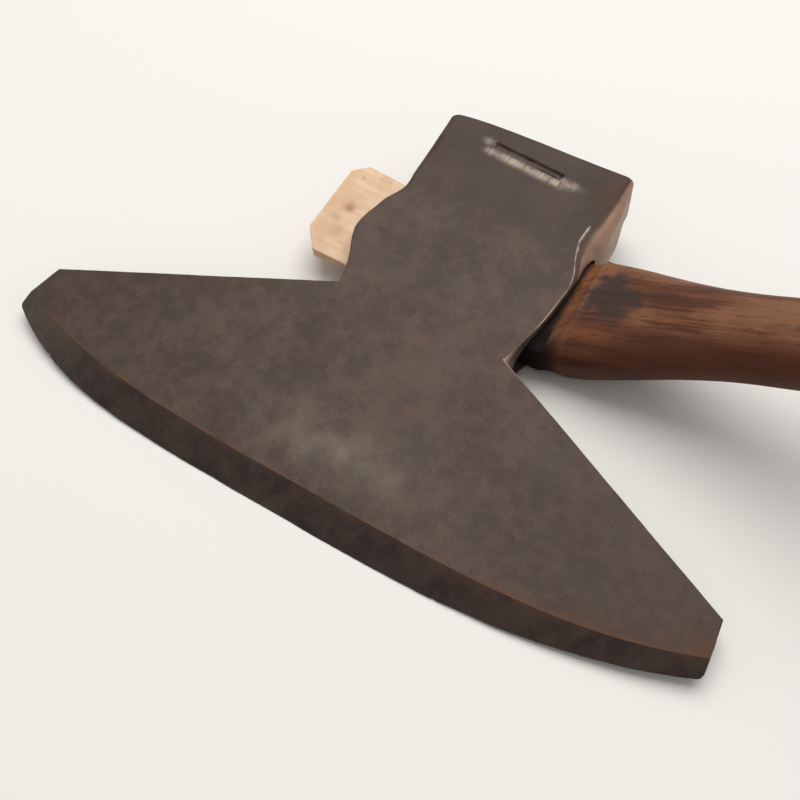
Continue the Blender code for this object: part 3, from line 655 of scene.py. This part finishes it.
bit_points = np.concatenate([end_left, bit, end_right])
fresh = np.exp(-honed_f / 0.05) * np.clip(0.5 + rough(bit, 6.0 * MM, 151), 0.0, 1.0) * on_bevel
arris_rub = np.exp(-(1.0 - honed_f) / 0.04) * np.clip(0.15 + 0.9 * rough(bit, 5.0 * MM, 161), 0.0, 1.0)
arris_rub *= on_bevel
ends_up = ease(0.0, 0.24, (-u[:, None] - 0.45) / 0.5) * on_bevel
warm = np.exp(-(1.0 - honed_f) / 0.22) * on_bevel * np.clip(0.5 + 0.6 * rough(bit, 16.0 * MM, 171), 0.0, 1.0)


def padded(mask):
    """Repeat the first and last rows of a mask on the closing rows."""
    extra = len(tucked)
    return np.concatenate([np.repeat(mask[:1], extra, axis=0), mask, np.repeat(mask[-1:], extra, axis=0)])


masks = {"worn": np.clip(0.2 * fresh + 0.25 * arris_rub, 0.0, 1.0), "bare_and_sheen": ends_up, "rust": warm,
         "buff": 0.0 * fresh, "oxide_and_shade": 0.0 * fresh}
bit_skin = closed_skin("bit_skin", lay(bit_points), {name: padded(mask) for name, mask in masks.items()})
settle(bit_skin, "steel_bit")

# %% [markdown]
# ## Haft: the centre line
#
# The haft of a side axe is bent away from the flat face, so that knuckles clear the log. Its
# centre line is a path: straight in the eye, a short tight bend, a straight run, and a slow return
# to level at the grip. The path is stepped off, then smoothed with a sliding average so that the
# wood bends without kinks.

# %% Path and section sizes of the haft
CLEARANCE, FRONT_GAP = 0.3 * MM, 8.0 * MM
TONGUE_END, TONGUE_RUN, STEP, SHIFT = 39.5 * MM, 47.0 * MM, 1.0 * MM, 1.5 * MM
BEND, DRIFT, LEVEL = (math.radians(v) for v in (25.2, 3.75, 5.0))
BEND_RADIUS, BENT, EASED, GRIP = 25.0 * MM, 110.0 * MM, 130.0 * MM, 190.0 * MM
TAPER, SOFTEN, KNOB = 84.0 * MM, 51.0 * MM, 45.0 * MM
SHANK, GRIP_SIZE, KNOB_WIDTH = (35.0 * MM, 24.2 * MM), (36.0 * MM, 26.0 * MM), 42.0 * MM
FRONT = EYE_FRONT + FRONT_GAP
WIDTH = EYE_BACK - FRONT - 2.0 * CLEARANCE
TOTAL = BENT + EASED + GRIP

KNOTS, MARGIN = 120, 30
s = np.linspace(0.0, TOTAL, KNOTS + 1)
lift = np.select([s < BEND_RADIUS * BEND, s < BENT], [s / BEND_RADIUS, BEND + 0.0 * s],
                 ease(BEND, LEVEL, (s - BENT) / EASED))
heading = np.stack([np.cos(lift), 0.0 * s + math.sin(DRIFT), np.sin(lift)], axis=-1)
heading /= np.linalg.norm(heading, axis=-1, keepdims=True)
start = np.array([TONGUE_RUN, FRONT + WIDTH / 2.0 + SHIFT, EYE_Z])
knots = start + np.concatenate([np.zeros((1, 3)), np.cumsum(heading[:-1] * TOTAL / KNOTS, axis=0)])
pace = 1.3 * MM
fine_s = np.arange(-MARGIN, int(TOTAL / pace) + MARGIN + 1) * pace
path = np.stack([np.interp(fine_s, s, knots[:, k]) for k in range(3)], axis=-1)
path += np.minimum(fine_s, 0.0)[:, None] * np.array([1.0, 0.0, 0.0])
path += np.maximum(fine_s - TOTAL, 0.0)[:, None] * heading[-1]
window = np.hanning(13) / np.hanning(13).sum()
path = np.stack([np.convolve(path[:, k], window, "same") for k in range(3)], axis=-1)
path = path[MARGIN:-MARGIN]
s = fine_s[MARGIN:-MARGIN]
print("haft path:", len(s), "stations,", round(float(TOTAL / MM)), "mm")

# %% [markdown]
# ## Haft: tongue, shoulder and shaved surface
#
# The section is a flattened oval that turns slowly from the squarish shape of the eye to a softer
# one in the hand. Where the haft was cut down to enter the eye, a steep little slope is left, with
# knife facets on it. Along the rest, a spokeshave leaves long, barely visible flats.

# %% Rings of the haft
COUNT, TONGUE_ROWS = 112, 71


def superellipse(width, thick, square):
    """(across, up) of |a|^n + |u|^n = 1 for every station, n given by square."""
    t = 2.0 * math.pi * np.arange(COUNT)[None, :] / COUNT
    c, sn = np.cos(t), np.sin(t)
    n = 2.0 / square[:, None]
    return np.stack([np.sign(c) * np.abs(c) ** n * width[:, None] / 2.0,
                     np.sign(sn) * np.abs(sn) ** n * thick[:, None] / 2.0], axis=-1)


taper, grip = ease(0.0, 1.0, s / TAPER), ease(0.0, 1.0, (s - BENT) / EASED)
width = lerp(WIDTH, SHANK[0], taper) + (GRIP_SIZE[0] - SHANK[0]) * grip
width += (KNOB_WIDTH - GRIP_SIZE[0]) * ease(0.0, 1.0, (s - TOTAL + KNOB) / KNOB)
thick = lerp(EYE_HEIGHT, SHANK[1], taper) + (GRIP_SIZE[1] - SHANK[1]) * grip
proud = 2.0 * STEP * (1.0 - taper)
flat = superellipse(width + proud, thick + proud, ease(EYE_SQUARE, 2.3, s / SOFTEN))
round_end = np.sqrt(np.maximum(0.0, 1.0 - np.maximum(1.0 - (TOTAL - s) / (12.0 * MM), 0.0) ** 2))
flat = flat * lerp(0.45, 1.0, round_end)[:, None, None]
way = np.gradient(path, axis=0)
way /= np.linalg.norm(way, axis=-1, keepdims=True)
side = np.cross([0.0, 0.0, 1.0], way)
side /= np.linalg.norm(side, axis=-1, keepdims=True)
above = np.cross(way, side)
shank = path[:, None] + side[:, None] * flat[..., :1] + above[:, None] * flat[..., 1:]

fit = 2.0 * CLEARANCE
tongue_oval = oval(EYE_FRONT + fit, EYE_BACK - fit, EYE_HEIGHT - fit, COUNT)
tongue_oval[:, 0] = np.maximum(tongue_oval[:, 0], FRONT)
tongue_x = np.linspace(-TONGUE_END, TONGUE_RUN, TONGUE_ROWS)
tongue = np.empty((TONGUE_ROWS, COUNT, 3))
tongue[..., 0], tongue[..., 1:] = tongue_x[:, None], tongue_oval[None]
first = int(np.searchsorted(s, 7.2 * MM))
slope_f = np.linspace(0.0, 1.0, 9)[1:-1, None, None]
shoulder_rings = lerp(tongue[-1:], shank[first:first + 1], slope_f)
haft = np.concatenate([tongue, shoulder_rings, shank[first:]])
centre = np.concatenate([tongue.mean(axis=1), shoulder_rings.mean(axis=1), path[first:]])
print("haft grid:", haft.shape)

# %% Grain coordinates and the shaved surface
run = np.concatenate([tongue_x - tongue_x[-1], slope_f[:, 0, 0] * s[first], s[first:]])
grain = np.empty(haft.shape)
grain[..., 0] = run[:, None]
slope_flat = lerp(flat[:1] * 0.94, flat[first:first + 1], slope_f)
grain[TONGUE_ROWS:, :, 1:] = np.concatenate([slope_flat, flat[first:]])
grain[:TONGUE_ROWS, :, 1] = tongue_oval[None, :, 0] - start[1]
grain[:TONGUE_ROWS, :, 2] = tongue_oval[None, :, 1] - EYE_Z
outside = ease(0.0, 1.0, (run - 5.0 * MM) / (6.0 * MM))[:, None]
long_flats = rough(grain * [0.12, 1.0, 1.0], 7.0 * MM, 201, 2)
fibres = rough(grain * [0.05, 1.0, 1.0], 1.6 * MM, 211, 2)
knife = lattice(grain * [0.9, 1.0, 1.0], 4.0 * MM, 221)
on_slope = spot(run, 3.5 * MM, 4.0 * MM)[:, None]
ridge = 0.45 * MM * spot(run, 7.6 * MM, 1.1 * MM)[:, None] * np.clip(0.7 + 0.5 * knife, 0.0, 1.0)
ridge *= ease(0.0, 1.0, (grain[..., 1] + 14.0 * MM) / (12.0 * MM))
knocks = cups(haft, 70, ((0.05, 0.05, -0.03), (0.48, 0.16, 0.16)), (2.0 * MM, 7.0 * MM), 0.5 * MM, 231)
shave = (0.20 * MM * long_flats + 0.05 * MM * fibres - 0.05 * MM - knocks) * outside
shave += (0.3 * MM * knife - 0.3 * MM) * on_slope + ridge * outside ** 0.3
haft = haft + outward(haft) * shave[..., None]
haft[-1] = lerp(haft[-1], haft[-1].mean(axis=0), 0.03)


def drawn_in(ring, shares):
    """Copies of a ring, each scaled by its share about the ring's mean."""
    return lerp(ring.mean(axis=0), ring, np.asarray(shares)[:, None, None])


def capped(rings, starts, ends):
    """A ring stack with drawn-in copies of its first ring before it and of its last ring after it."""
    return np.concatenate([drawn_in(rings[0], starts), rings, drawn_in(rings[-1], ends)])


haft_points, grain_points = (capped(rings, [0.03, 0.35, 0.7, 0.97], [0.9, 0.6, 0.3, 0.04])
                             for rings in (haft, grain))
g_run, g_across, g_up = (grain_points[..., k] for k in range(3))
blur = rough(grain_points * [0.5, 1.0, 1.0], 9.0 * MM, 241)
grime = spot(g_run, 21.0 * MM, 13.0 * MM) * spot(g_across, 4.0 * MM, 12.0 * MM) * (g_up > 0.0)
grime = np.clip(grime * (1.1 + 0.9 * blur) + 0.18 * blur * spot(g_run, 60.0 * MM, 50.0 * MM), 0.0, 1.0)
cut_fresh = (within(g_run - 2.0 * MM, 5.0 * MM, 2.0 * MM)
             * ease(0.35, 0.75, (g_across + 14.0 * MM) / (20.0 * MM)))
cut_fresh += spot(g_run, 16.0 * MM, 13.0 * MM) * spot(g_across, -13.0 * MM, 6.0 * MM) * (g_up > 0.0) * 1.2
cut_fresh = np.clip(cut_fresh * (0.85 + 0.3 * blur), 0.0, 1.0)
# Painted shade: the near side and the underside of the haft, away from the lamp, are darkened in colour, less
# on the cut shoulder.
underside_shade = 0.85 * ease(0.0, 1.0, (-g_across - 5.5 * MM) / (7.5 * MM))
underside_shade = np.maximum(underside_shade, ease(0.0, 1.0, (-g_up + 2.0 * MM) / (8.0 * MM))) * (1.0 - 0.8 * cut_fresh)
# Painted shade: near black on the wood inside the eye and on the front face where the haft enters it.
eye_shade = ease(1.0, 0.0, (g_run - 1.0 * MM) / (8.0 * MM)) * ease(1.0, 0.0, (g_across + 19.0 * MM) / (10.0 * MM))
eye_shade = np.maximum(eye_shade, ease(1.0, 0.0, (g_run + 2.0 * MM) / (4.0 * MM)) * (g_run > -80.0 * MM))
masks = {"grain": grain_points, "grime": grime, "cut_fresh": cut_fresh, "underside_shade": underside_shade, "eye_shade": eye_shade}
haft_skin = closed_skin("haft_skin", lay(haft_points), masks)

# %% [markdown]
# ## Haft: the kerf
#
# Before hanging, the end of the haft is sawn so that a wedge can spread it. The cutter is a tapered
# block with the wedge's own taper plus clearance on both sides.

# %% Saw the kerf
REACH, POINT = 70.5 * MM, 6.0 * MM
WEDGE_Z, WEDGE_THICK, POINT_THICK = -12.2 * MM, 6.5 * MM, 2.0 * MM
KERF_BOTTOM = 10.0 * MM


def wedge_half(x):
    """Half thickness of the wedge: half WEDGE_THICK at the driven end, half POINT_THICK at the point."""
    return lerp(WEDGE_THICK, POINT_THICK, (x + REACH) / (POINT + REACH)) / 2.0


x = np.array([-TONGUE_END - 5.0 * MM, KERF_BOTTOM])
half = wedge_half(x) + CLEARANCE
y0, y1 = EYE_FRONT - FRONT_GAP, EYE_BACK + FRONT_GAP
saw = np.stack([np.stack([x, 0.0 * x + y, WEDGE_Z + sign * half], axis=-1)
                for y, sign in ((y0, -1.0), (y1, -1.0), (y1, 1.0), (y0, 1.0))], axis=1)
cut_out(haft_skin, closed_skin("saw", lay(saw)))
settle(haft_skin, "haft", 30.0)

# %% [markdown]
# ## Wedge
#
# The wedge is a plain sawn slip of pale wood. Its driven end had its corners knocked off so that it
# would not split, and its edges are eased. Rings run across it, each a rounded rectangle as wide
# as the clipped outline allows at that place.

# %% Rings of the wedge
WEDGE_FRONT, WIDE, SLIM, EASED_EDGE = 85.8 * MM, 50.4 * MM, 45.5 * MM, 0.8 * MM
CLIP_FRONT, CLIP_BACK = (8.0 * MM, 10.0 * MM), (6.5 * MM, 6.5 * MM)
x = np.concatenate([-REACH + EASED_EDGE * (1.0 - np.cos(np.linspace(0.0, math.pi / 2.0, 6)))[1:],
                    np.linspace(-REACH + 1.1 * MM, -REACH + 10.0 * MM, 22),
                    np.linspace(-REACH + 10.6 * MM, POINT, 90)])
clip_front, clip_back = (drop * np.clip(1.0 - (x + REACH) / reach, 0.0, 1.0)
                         for reach, drop in (CLIP_FRONT, CLIP_BACK))
past_ease = 1.0 - np.minimum((x + REACH) / EASED_EDGE, 1.0)
end_ease = EASED_EDGE * (1.0 - np.sqrt(np.maximum(1.0 - past_ease ** 2, 0.0)))
near = (WEDGE_FRONT + clip_front)[:, None]
far = (WEDGE_FRONT + lerp(WIDE, SLIM, (x + REACH) / (POINT + REACH)) - clip_back)[:, None]
half = (wedge_half(x) - end_ease)[:, None]
soft_rim = EASED_EDGE * (0.35 + 0.65 * (x < -40.0 * MM))[:, None]
f = np.linspace(0.0, 1.0, 57)[None, :]
q = (math.pi / 2.0 * np.linspace(0.0, 1.0, 6)[1:-1])[None, :]
xs = x[:, None]
edge_run = (2.0 * half - 2.0 * soft_rim) * np.linspace(0.0, 1.0, 5)


def wedge_side(y, z):
    """Points of one stretch of the section."""
    return np.stack([xs + 0.0 * y, y + 0.0 * xs, z + 0.0 * y], axis=-1)


wedge = np.concatenate([
    wedge_side(lerp(near + soft_rim, far - soft_rim, f), half + 0.0 * f),
    wedge_side(far - soft_rim * (1.0 - np.sin(q)), half - soft_rim * (1.0 - np.cos(q))),
    wedge_side(far + 0.0 * f[:, :5], half - soft_rim - edge_run),
    wedge_side(far - soft_rim * (1.0 - np.cos(q)), -half + soft_rim * (1.0 - np.sin(q))),
    wedge_side(lerp(far - soft_rim, near + soft_rim, f), -half + 0.0 * f),
    wedge_side(near + soft_rim * (1.0 - np.sin(q)), -half + soft_rim * (1.0 - np.cos(q))),
    wedge_side(near + 0.0 * f[:, :5], -half + soft_rim + edge_run),
    wedge_side(near + soft_rim * (1.0 - np.cos(q)), half - soft_rim * (1.0 - np.sin(q)))], axis=1)
wedge[..., 2] += WEDGE_Z
sawn = 0.05 * MM * rough(wedge * [0.08, 1.0, 1.0], 1.2 * MM, 301) + 0.06 * MM * lattice(wedge, 9.0 * MM, 311)
wx, wy = wedge[..., 0], wedge[..., 1]
bruise = 0.5 * MM * (spot(np.hypot(wx + 60.0 * MM, wy - 112.0 * MM), 0.0, 2.6 * MM)
                     + spot(np.hypot(wx + 62.0 * MM, wy - 103.0 * MM), 0.0, 3.4 * MM) * 0.7)
outer = ease(1.0, 0.0, (wx + 48.0 * MM) / (6.0 * MM))
dressed = (sawn - 0.08 * MM) * outer - bruise * outer * (wedge[..., 2] > WEDGE_Z)
wedge = wedge + outward(wedge) * dressed[..., None]
wedge_points = capped(wedge, [0.04, 0.4, 0.9], [0.9, 0.4, 0.04])
wx, wy = wedge_points[..., 0], wedge_points[..., 1]
blot = rough(wedge_points, 4.0 * MM, 321)
stain = 0.9 * spot(np.hypot((wx + 60.0 * MM) / 1.2, wy - 112.0 * MM), 0.0, 2.3 * MM)
for depth, at_x, at_y, size in ((0.5, -63.0, 105.0, 2.4), (0.45, -59.0, 100.0, 3.6),
                                (0.9, -63.0, 128.5, 0.7)):
    stain += depth * spot(np.hypot(wx - at_x * MM, wy - at_y * MM), 0.0, size * MM)
stain = np.clip(stain * (0.85 + 0.35 * blot), 0.0, 1.0)
rim = ease(0.0, 1.0, (WEDGE_FRONT + 13.0 * MM - wy - (wx + REACH)) / (3.0 * MM))
rim *= ease(1.0, 0.0, (wx + 56.0 * MM) / (8.0 * MM))
masks = {"stain": stain, "rim": rim, "grain": wedge_points}
wedge_skin = closed_skin("wedge_skin", lay(wedge_points), masks)
settle(wedge_skin, "wedge", 40.0)

# %% [markdown]
# ## Helpers for finishes
#
# A finish is a network of shader nodes, which is tedious to write one link at a time. `Value` wraps
# an output of a node so that arithmetic on it adds Math nodes, and `Finish` makes every other node
# through one method.

# %% Arithmetic on sockets


class Value:
    """One output of a node; +, - and * add Math nodes to its finish."""

    def __init__(self, finish, output):
        self.finish, self.output = finish, output

    def _math(self, operation, first, second):
        return self.finish.node("Math", {"operation": operation}, {0: first, 1: second})

    def __add__(self, other):
        return self._math("ADD", self, other)

    def __radd__(self, other):
        return self._math("ADD", other, self)

    def __sub__(self, other):
        return self._math("SUBTRACT", self, other)

    def __rsub__(self, other):
        return self._math("SUBTRACT", other, self)

    def __mul__(self, other):
        return self._math("MULTIPLY", self, other)

    def __rmul__(self, other):
        return self._math("MULTIPLY", other, self)


class Finish:
    """A material: nodes are added by node(), the shader's sockets are set by shade()."""

    def __init__(self, name):
        self.material = bpy.data.materials.new(name)
        self.material.use_nodes = True
        self.tree = self.material.node_tree
        self.shader = self.tree.nodes["Principled BSDF"]

    def node(self, kind, settings=None, sockets=None, output=0):
        """Add a ShaderNode<kind>, apply its settings, then fill sockets with values or links."""
        made = self.tree.nodes.new("ShaderNode" + kind)
        for key, value in (settings or {}).items():
            setattr(made, key, value)
        for key, value in (sockets or {}).items():
            self._fill(made.inputs[key], value)
        return Value(self, made.outputs[output])

    def _fill(self, socket, value):
        if isinstance(value, Value):
            self.tree.links.new(value.output, socket)
        elif socket.type == "RGBA":
            socket.default_value = (*value[:3], 1.0)
        else:
            socket.default_value = value

    def noise(self, where, size, detail=3.0, roughness=0.55):
        """Noise in 0 to 1 whose largest features are about size metres."""
        return self.node("TexNoise", None, {"Vector": where, "Scale": 1.0 / size, "Detail": detail,
                                            "Roughness": roughness})

    def step(self, value, low, high, bottom=0.0, top=1.0):
        """Smooth step from bottom to top as value goes from low to high."""
        return self.node("MapRange", {"interpolation_type": "SMOOTHSTEP"},
                         {"Value": value, "From Min": low, "From Max": high, "To Min": bottom, "To Max": top})

    def mix(self, first, second, factor):
        """Blend of two colours."""
        return self.node("Mix", {"data_type": "RGBA"}, {0: factor, 6: first, 7: second}, 2)

    def squeezed(self, where, share):
        """Coordinates squeezed to a share of their length along the grain."""
        return self.node("Mapping", None, {"Vector": where, "Scale": (share, 1.0, 1.0)})

    def mask(self, name):
        """A number painted on the mesh."""
        return self.node("Attribute", {"attribute_name": name}, None, 2)

    def bumps(self, *layers):
        """Chain of Bump nodes from (height, distance, strength), coarse ones first."""
        normal = None
        for height, distance, strength in layers:
            sockets = {"Height": height, "Distance": distance, "Strength": strength}
            if normal is not None:
                sockets["Normal"] = normal
            normal = self.node("Bump", None, sockets)
        return normal

    def shade(self, piece, **sockets):
        """Fill the shader's sockets by name and give the material to the piece."""
        for key, value in sockets.items():
            self._fill(self.shader.inputs[key.replace("_", " ")], value)
        piece.data.materials.clear()
        piece.data.materials.append(self.material)
        print(self.material.name, len(self.tree.nodes), "nodes on", piece.name)


# %% [markdown]
# ## Finish: old iron
#
# Old iron is not bare metal. A thin brown-grey oxide covers it, cloudy at the scale of a thumb,
# mottled at the scale of a pinhead, and freckled with tiny dark pits. Oxide scatters light much
# like a dull paint with a faint metallic glow, so Metallic stays low and rises only where metal
# shows. Worn corners go bright and smooth; rust goes warm and dull.

# %% Old iron


def old_iron(name, piece, dark, light, warm, gloss, glow):
    """Patina from two colours and a rust colour; gloss is mean roughness, glow the mirror share."""
    f = Finish(name)
    where = f.node("TexCoord", None, None, 3)
    cloud = f.noise(where, 0.024, 4.0, 0.55)
    mottle = f.noise(where, 0.0060, 6.0, 0.66)
    grit = f.noise(where, 0.0009, 4.0, 0.6)
    pits = (f.step(f.noise(where, 0.0019, 2.0, 0.45), 0.68, 0.78)
            * f.step(f.noise(where, 0.014, 2.0), 0.52, 0.62))
    worn, bare_and_sheen, rust, buff, oxide_and_shade = (f.mask(m) for m in ("worn", "bare_and_sheen", "rust", "buff", "oxide_and_shade"))
    tone = f.step(cloud * 0.34 + mottle * 0.46 + grit * 0.20, 0.38, 0.62)
    colour = f.mix(dark, light, tone)
    olive = f.step(f.noise(where, 0.017, 4.0, 0.6), 0.50, 0.66)
    colour = f.mix(colour, (0.052, 0.043, 0.028), olive * 0.35 * (1.0 - rust * 0.8))
    reddish = f.step(f.noise(where, 0.012, 4.0, 0.6), 0.46, 0.68)
    colour = f.mix(colour, warm, f.step(rust * 0.9 + reddish * 0.16 + (mottle - 0.5) * 0.2, 0.05, 1.0))
    # Partly painted shade: the iron darkens to a reddish brown towards the poll and the blade's ends.
    colour = f.mix(colour, (0.033, 0.018, 0.012), oxide_and_shade * 0.60)
    colour = f.mix(colour, (0.36, 0.222, 0.153), f.step(buff * (0.75 + mottle * 0.5), 0.0, 1.0))
    # This bright-metal mix paints the scraped metal by the slot and also a painted sheen in the middle of the
    # blade.
    metal = f.step(bare_and_sheen * (0.75 + grit * 0.5), 0.02, 1.0)
    colour = f.mix(colour, (0.40, 0.325, 0.265), metal * 0.74)
    bright = f.step(worn * (0.75 + grit * 0.5), 0.25, 0.95)
    colour = f.mix(colour, (0.50, 0.38, 0.28), bright * 0.75)
    colour = f.mix(colour, (0.014, 0.009, 0.006), pits * 0.5)
    dulled = gloss + (mottle - 0.5) * 0.30 + rust * 0.10 - buff * 0.12
    shine = f.node("Math", {"operation": "ADD", "use_clamp": True},
                   {0: dulled, 1: metal * -0.06 - bright * 0.15})
    height = f.bumps((mottle, 0.00022, 0.6), (grit, 0.00008, 0.6), (pits, -0.00015, 0.6))
    f.shade(piece, Base_Color=colour, Metallic=0.12 + metal * 0.35 + buff * 0.25 + bright * 0.3,
            Roughness=shine, Normal=height, Specular_IOR_Level=glow)


old_iron("patinated_iron", head_skin, dark=(0.046, 0.027, 0.019), light=(0.094, 0.060, 0.044),
         warm=(0.120, 0.052, 0.024), gloss=0.57, glow=0.32)
old_iron("honed_steel", bit_skin, dark=(0.020, 0.011, 0.0085), light=(0.040, 0.023, 0.017),
         warm=(0.062, 0.029, 0.016), gloss=0.52, glow=0.30)

# %% [markdown]
# ## Finish: the haft
#
# The haft is hickory or ash gone deep red-brown from oil and hands. Its grain runs along the bend,
# so the pattern uses the coordinates carried by the mesh, not the world's. Long streaks come from
# noise squeezed along the grain, and pores are short dark dashes. Hands polish it, so a thin coat
# lies over it; grime is dull and grey; the cut shoulder is warmer and rougher.

# %% Haft wood
f = Finish("oiled_haft")
grain_at = f.node("Attribute", {"attribute_name": "grain"}, None, 1)
long_way, short_way = f.squeezed(grain_at, 0.04), f.squeezed(grain_at, 0.12)
figure = f.noise(long_way, 0.0048, 5.0, 0.62)
streak = f.noise(long_way, 0.0013, 4.0, 0.6)
pore = f.step(f.noise(short_way, 0.0007, 2.0, 0.5), 0.60, 0.70)
patch = f.noise(f.squeezed(grain_at, 0.35), 0.014, 5.0, 0.6)
dull = f.noise(grain_at, 0.006, 5.0, 0.6)
grime, cut, underside_shade, eye_shade = (f.mask(m) for m in ("grime", "cut_fresh", "underside_shade", "eye_shade"))
tone = f.step(figure * 0.40 + streak * 0.30 + patch * 0.30, 0.38, 0.62)
colour = f.mix((0.046, 0.0115, 0.004), (0.190, 0.064, 0.022), tone)
# The lighter faded film is thinned where the painted shade lies, so the top of the haft reads lighter.
faded = f.step(patch * 0.7 + figure * 0.3, 0.44, 0.62) * (0.50 - underside_shade * 0.42)
colour = f.mix(colour, (0.215, 0.105, 0.055), faded)
colour = f.mix(colour, (0.200, 0.060, 0.014), cut * (0.25 + tone * 0.6))
# Painted shade: a dark red-brown over the near side and the underside of the haft.
colour = f.mix(colour, (0.046, 0.0085, 0.0022), underside_shade * (0.55 + patch * 0.6))
colour = f.mix(colour, (0.030, 0.020, 0.017), f.step(grime + (dull - 0.5) * 1.5, 0.20, 0.80) * 0.85)
colour = f.mix(colour, (0.016, 0.006, 0.003), pore * 0.45)
# Painted shade: the wood inside the eye and at its front mouth is nearly black.
colour = f.mix(colour, (0.003, 0.001, 0.0006), eye_shade * 0.97)
f.shade(haft_skin, Base_Color=colour, Roughness=0.52 + (streak - 0.5) * 0.3 + grime * 0.12 + eye_shade * 0.3,
        Normal=f.bumps((figure, 0.00030, 0.5), (streak, 0.00020, 0.6), (pore, -0.0001, 0.5)),
        Coat_Weight=0.05 - eye_shade * 0.05, Coat_Roughness=0.40, Specular_IOR_Level=0.20)

# %% [markdown]
# ## Finish: the wedge
#
# The wedge is new against everything else: dry, sawn, pale, with soft brown lines along its grain
# and a few dark stains where it has been handled and struck.

# %% Wedge wood
f = Finish("raw_wedge")
grain_at = f.node("Attribute", {"attribute_name": "grain"}, None, 1)
long_way = f.squeezed(grain_at, 0.06)
line = f.noise(long_way, 0.0028, 4.0, 0.55)
fibre = f.noise(long_way, 0.0006, 3.0, 0.5)
cloud = f.noise(grain_at, 0.012, 2.0, 0.5)
stain = f.mask("stain")
colour = f.mix((0.64, 0.425, 0.265), (0.78, 0.56, 0.385), f.step(line * 0.35 + cloud * 0.65, 0.36, 0.62))
colour = f.mix(colour, (0.50, 0.31, 0.18), f.step(fibre, 0.55, 0.75) * 0.22)
colour = f.mix(colour, (0.46, 0.29, 0.13), f.step(cloud + stain * 0.15, 0.52, 0.70) * 0.30)
colour = f.mix(colour, (0.33, 0.125, 0.050), stain * 0.85)
colour = f.mix(colour, (0.74, 0.46, 0.36), f.mask("rim") * 0.6)
f.shade(wedge_skin, Base_Color=colour, Roughness=0.72 + (fibre - 0.5) * 0.2,
        Normal=f.bumps((line, 0.0002, 0.4), (fibre, 0.00008, 0.5)))

# %% [markdown]
# ## Floor and light
#
# The axe lies on plain pale card under one large soft lamp, high and a little behind it, in an evenly
# pale room. The lamp is mirrored faintly in the middle of the flat face; the bevel leans away from
# it and stays dark.

# %% Floor
SIZE = 3.0
floor_mesh = bpy.data.meshes.new("floor")
floor_mesh.from_pydata([(-SIZE, -SIZE, 0.0), (SIZE, -SIZE, 0.0), (SIZE, SIZE, 0.0), (-SIZE, SIZE, 0.0)],
                       [], [(0, 1, 2, 3)])
floor = bpy.data.objects.new("floor", floor_mesh)
bpy.context.scene.collection.objects.link(floor)
f = Finish("pale_card")
f.shade(floor, Base_Color=(0.785, 0.77, 0.74), Roughness=0.9)

# %% Lamps and surroundings


def softbox(name, place, aim, size, watts, colour):
    """Square area lamp of the given size at place, facing aim."""
    lamp = bpy.data.lights.new(name, "AREA")
    lamp.shape, lamp.size, lamp.energy, lamp.color = "SQUARE", size, watts, colour
    obj = bpy.data.objects.new(name, lamp)
    obj.matrix_world = (Matrix.Translation(place)
                        @ (Vector(aim) - Vector(place)).to_track_quat("-Z", "Y").to_matrix().to_4x4())
    bpy.context.scene.collection.objects.link(obj)


softbox("overhead", (-0.16, 0.55, 1.5), (0.0, 0.0, 0.0), 1.7, 25.5, (1.0, 0.985, 0.965))
world = bpy.data.worlds.new("room")
world.use_nodes = True
world.node_tree.nodes["Background"].inputs["Color"].default_value = (1.0, 0.985, 0.96, 1.0)
world.node_tree.nodes["Background"].inputs["Strength"].default_value = 0.50
bpy.context.scene.world = world
bpy.context.scene.view_settings.view_transform = "Standard"
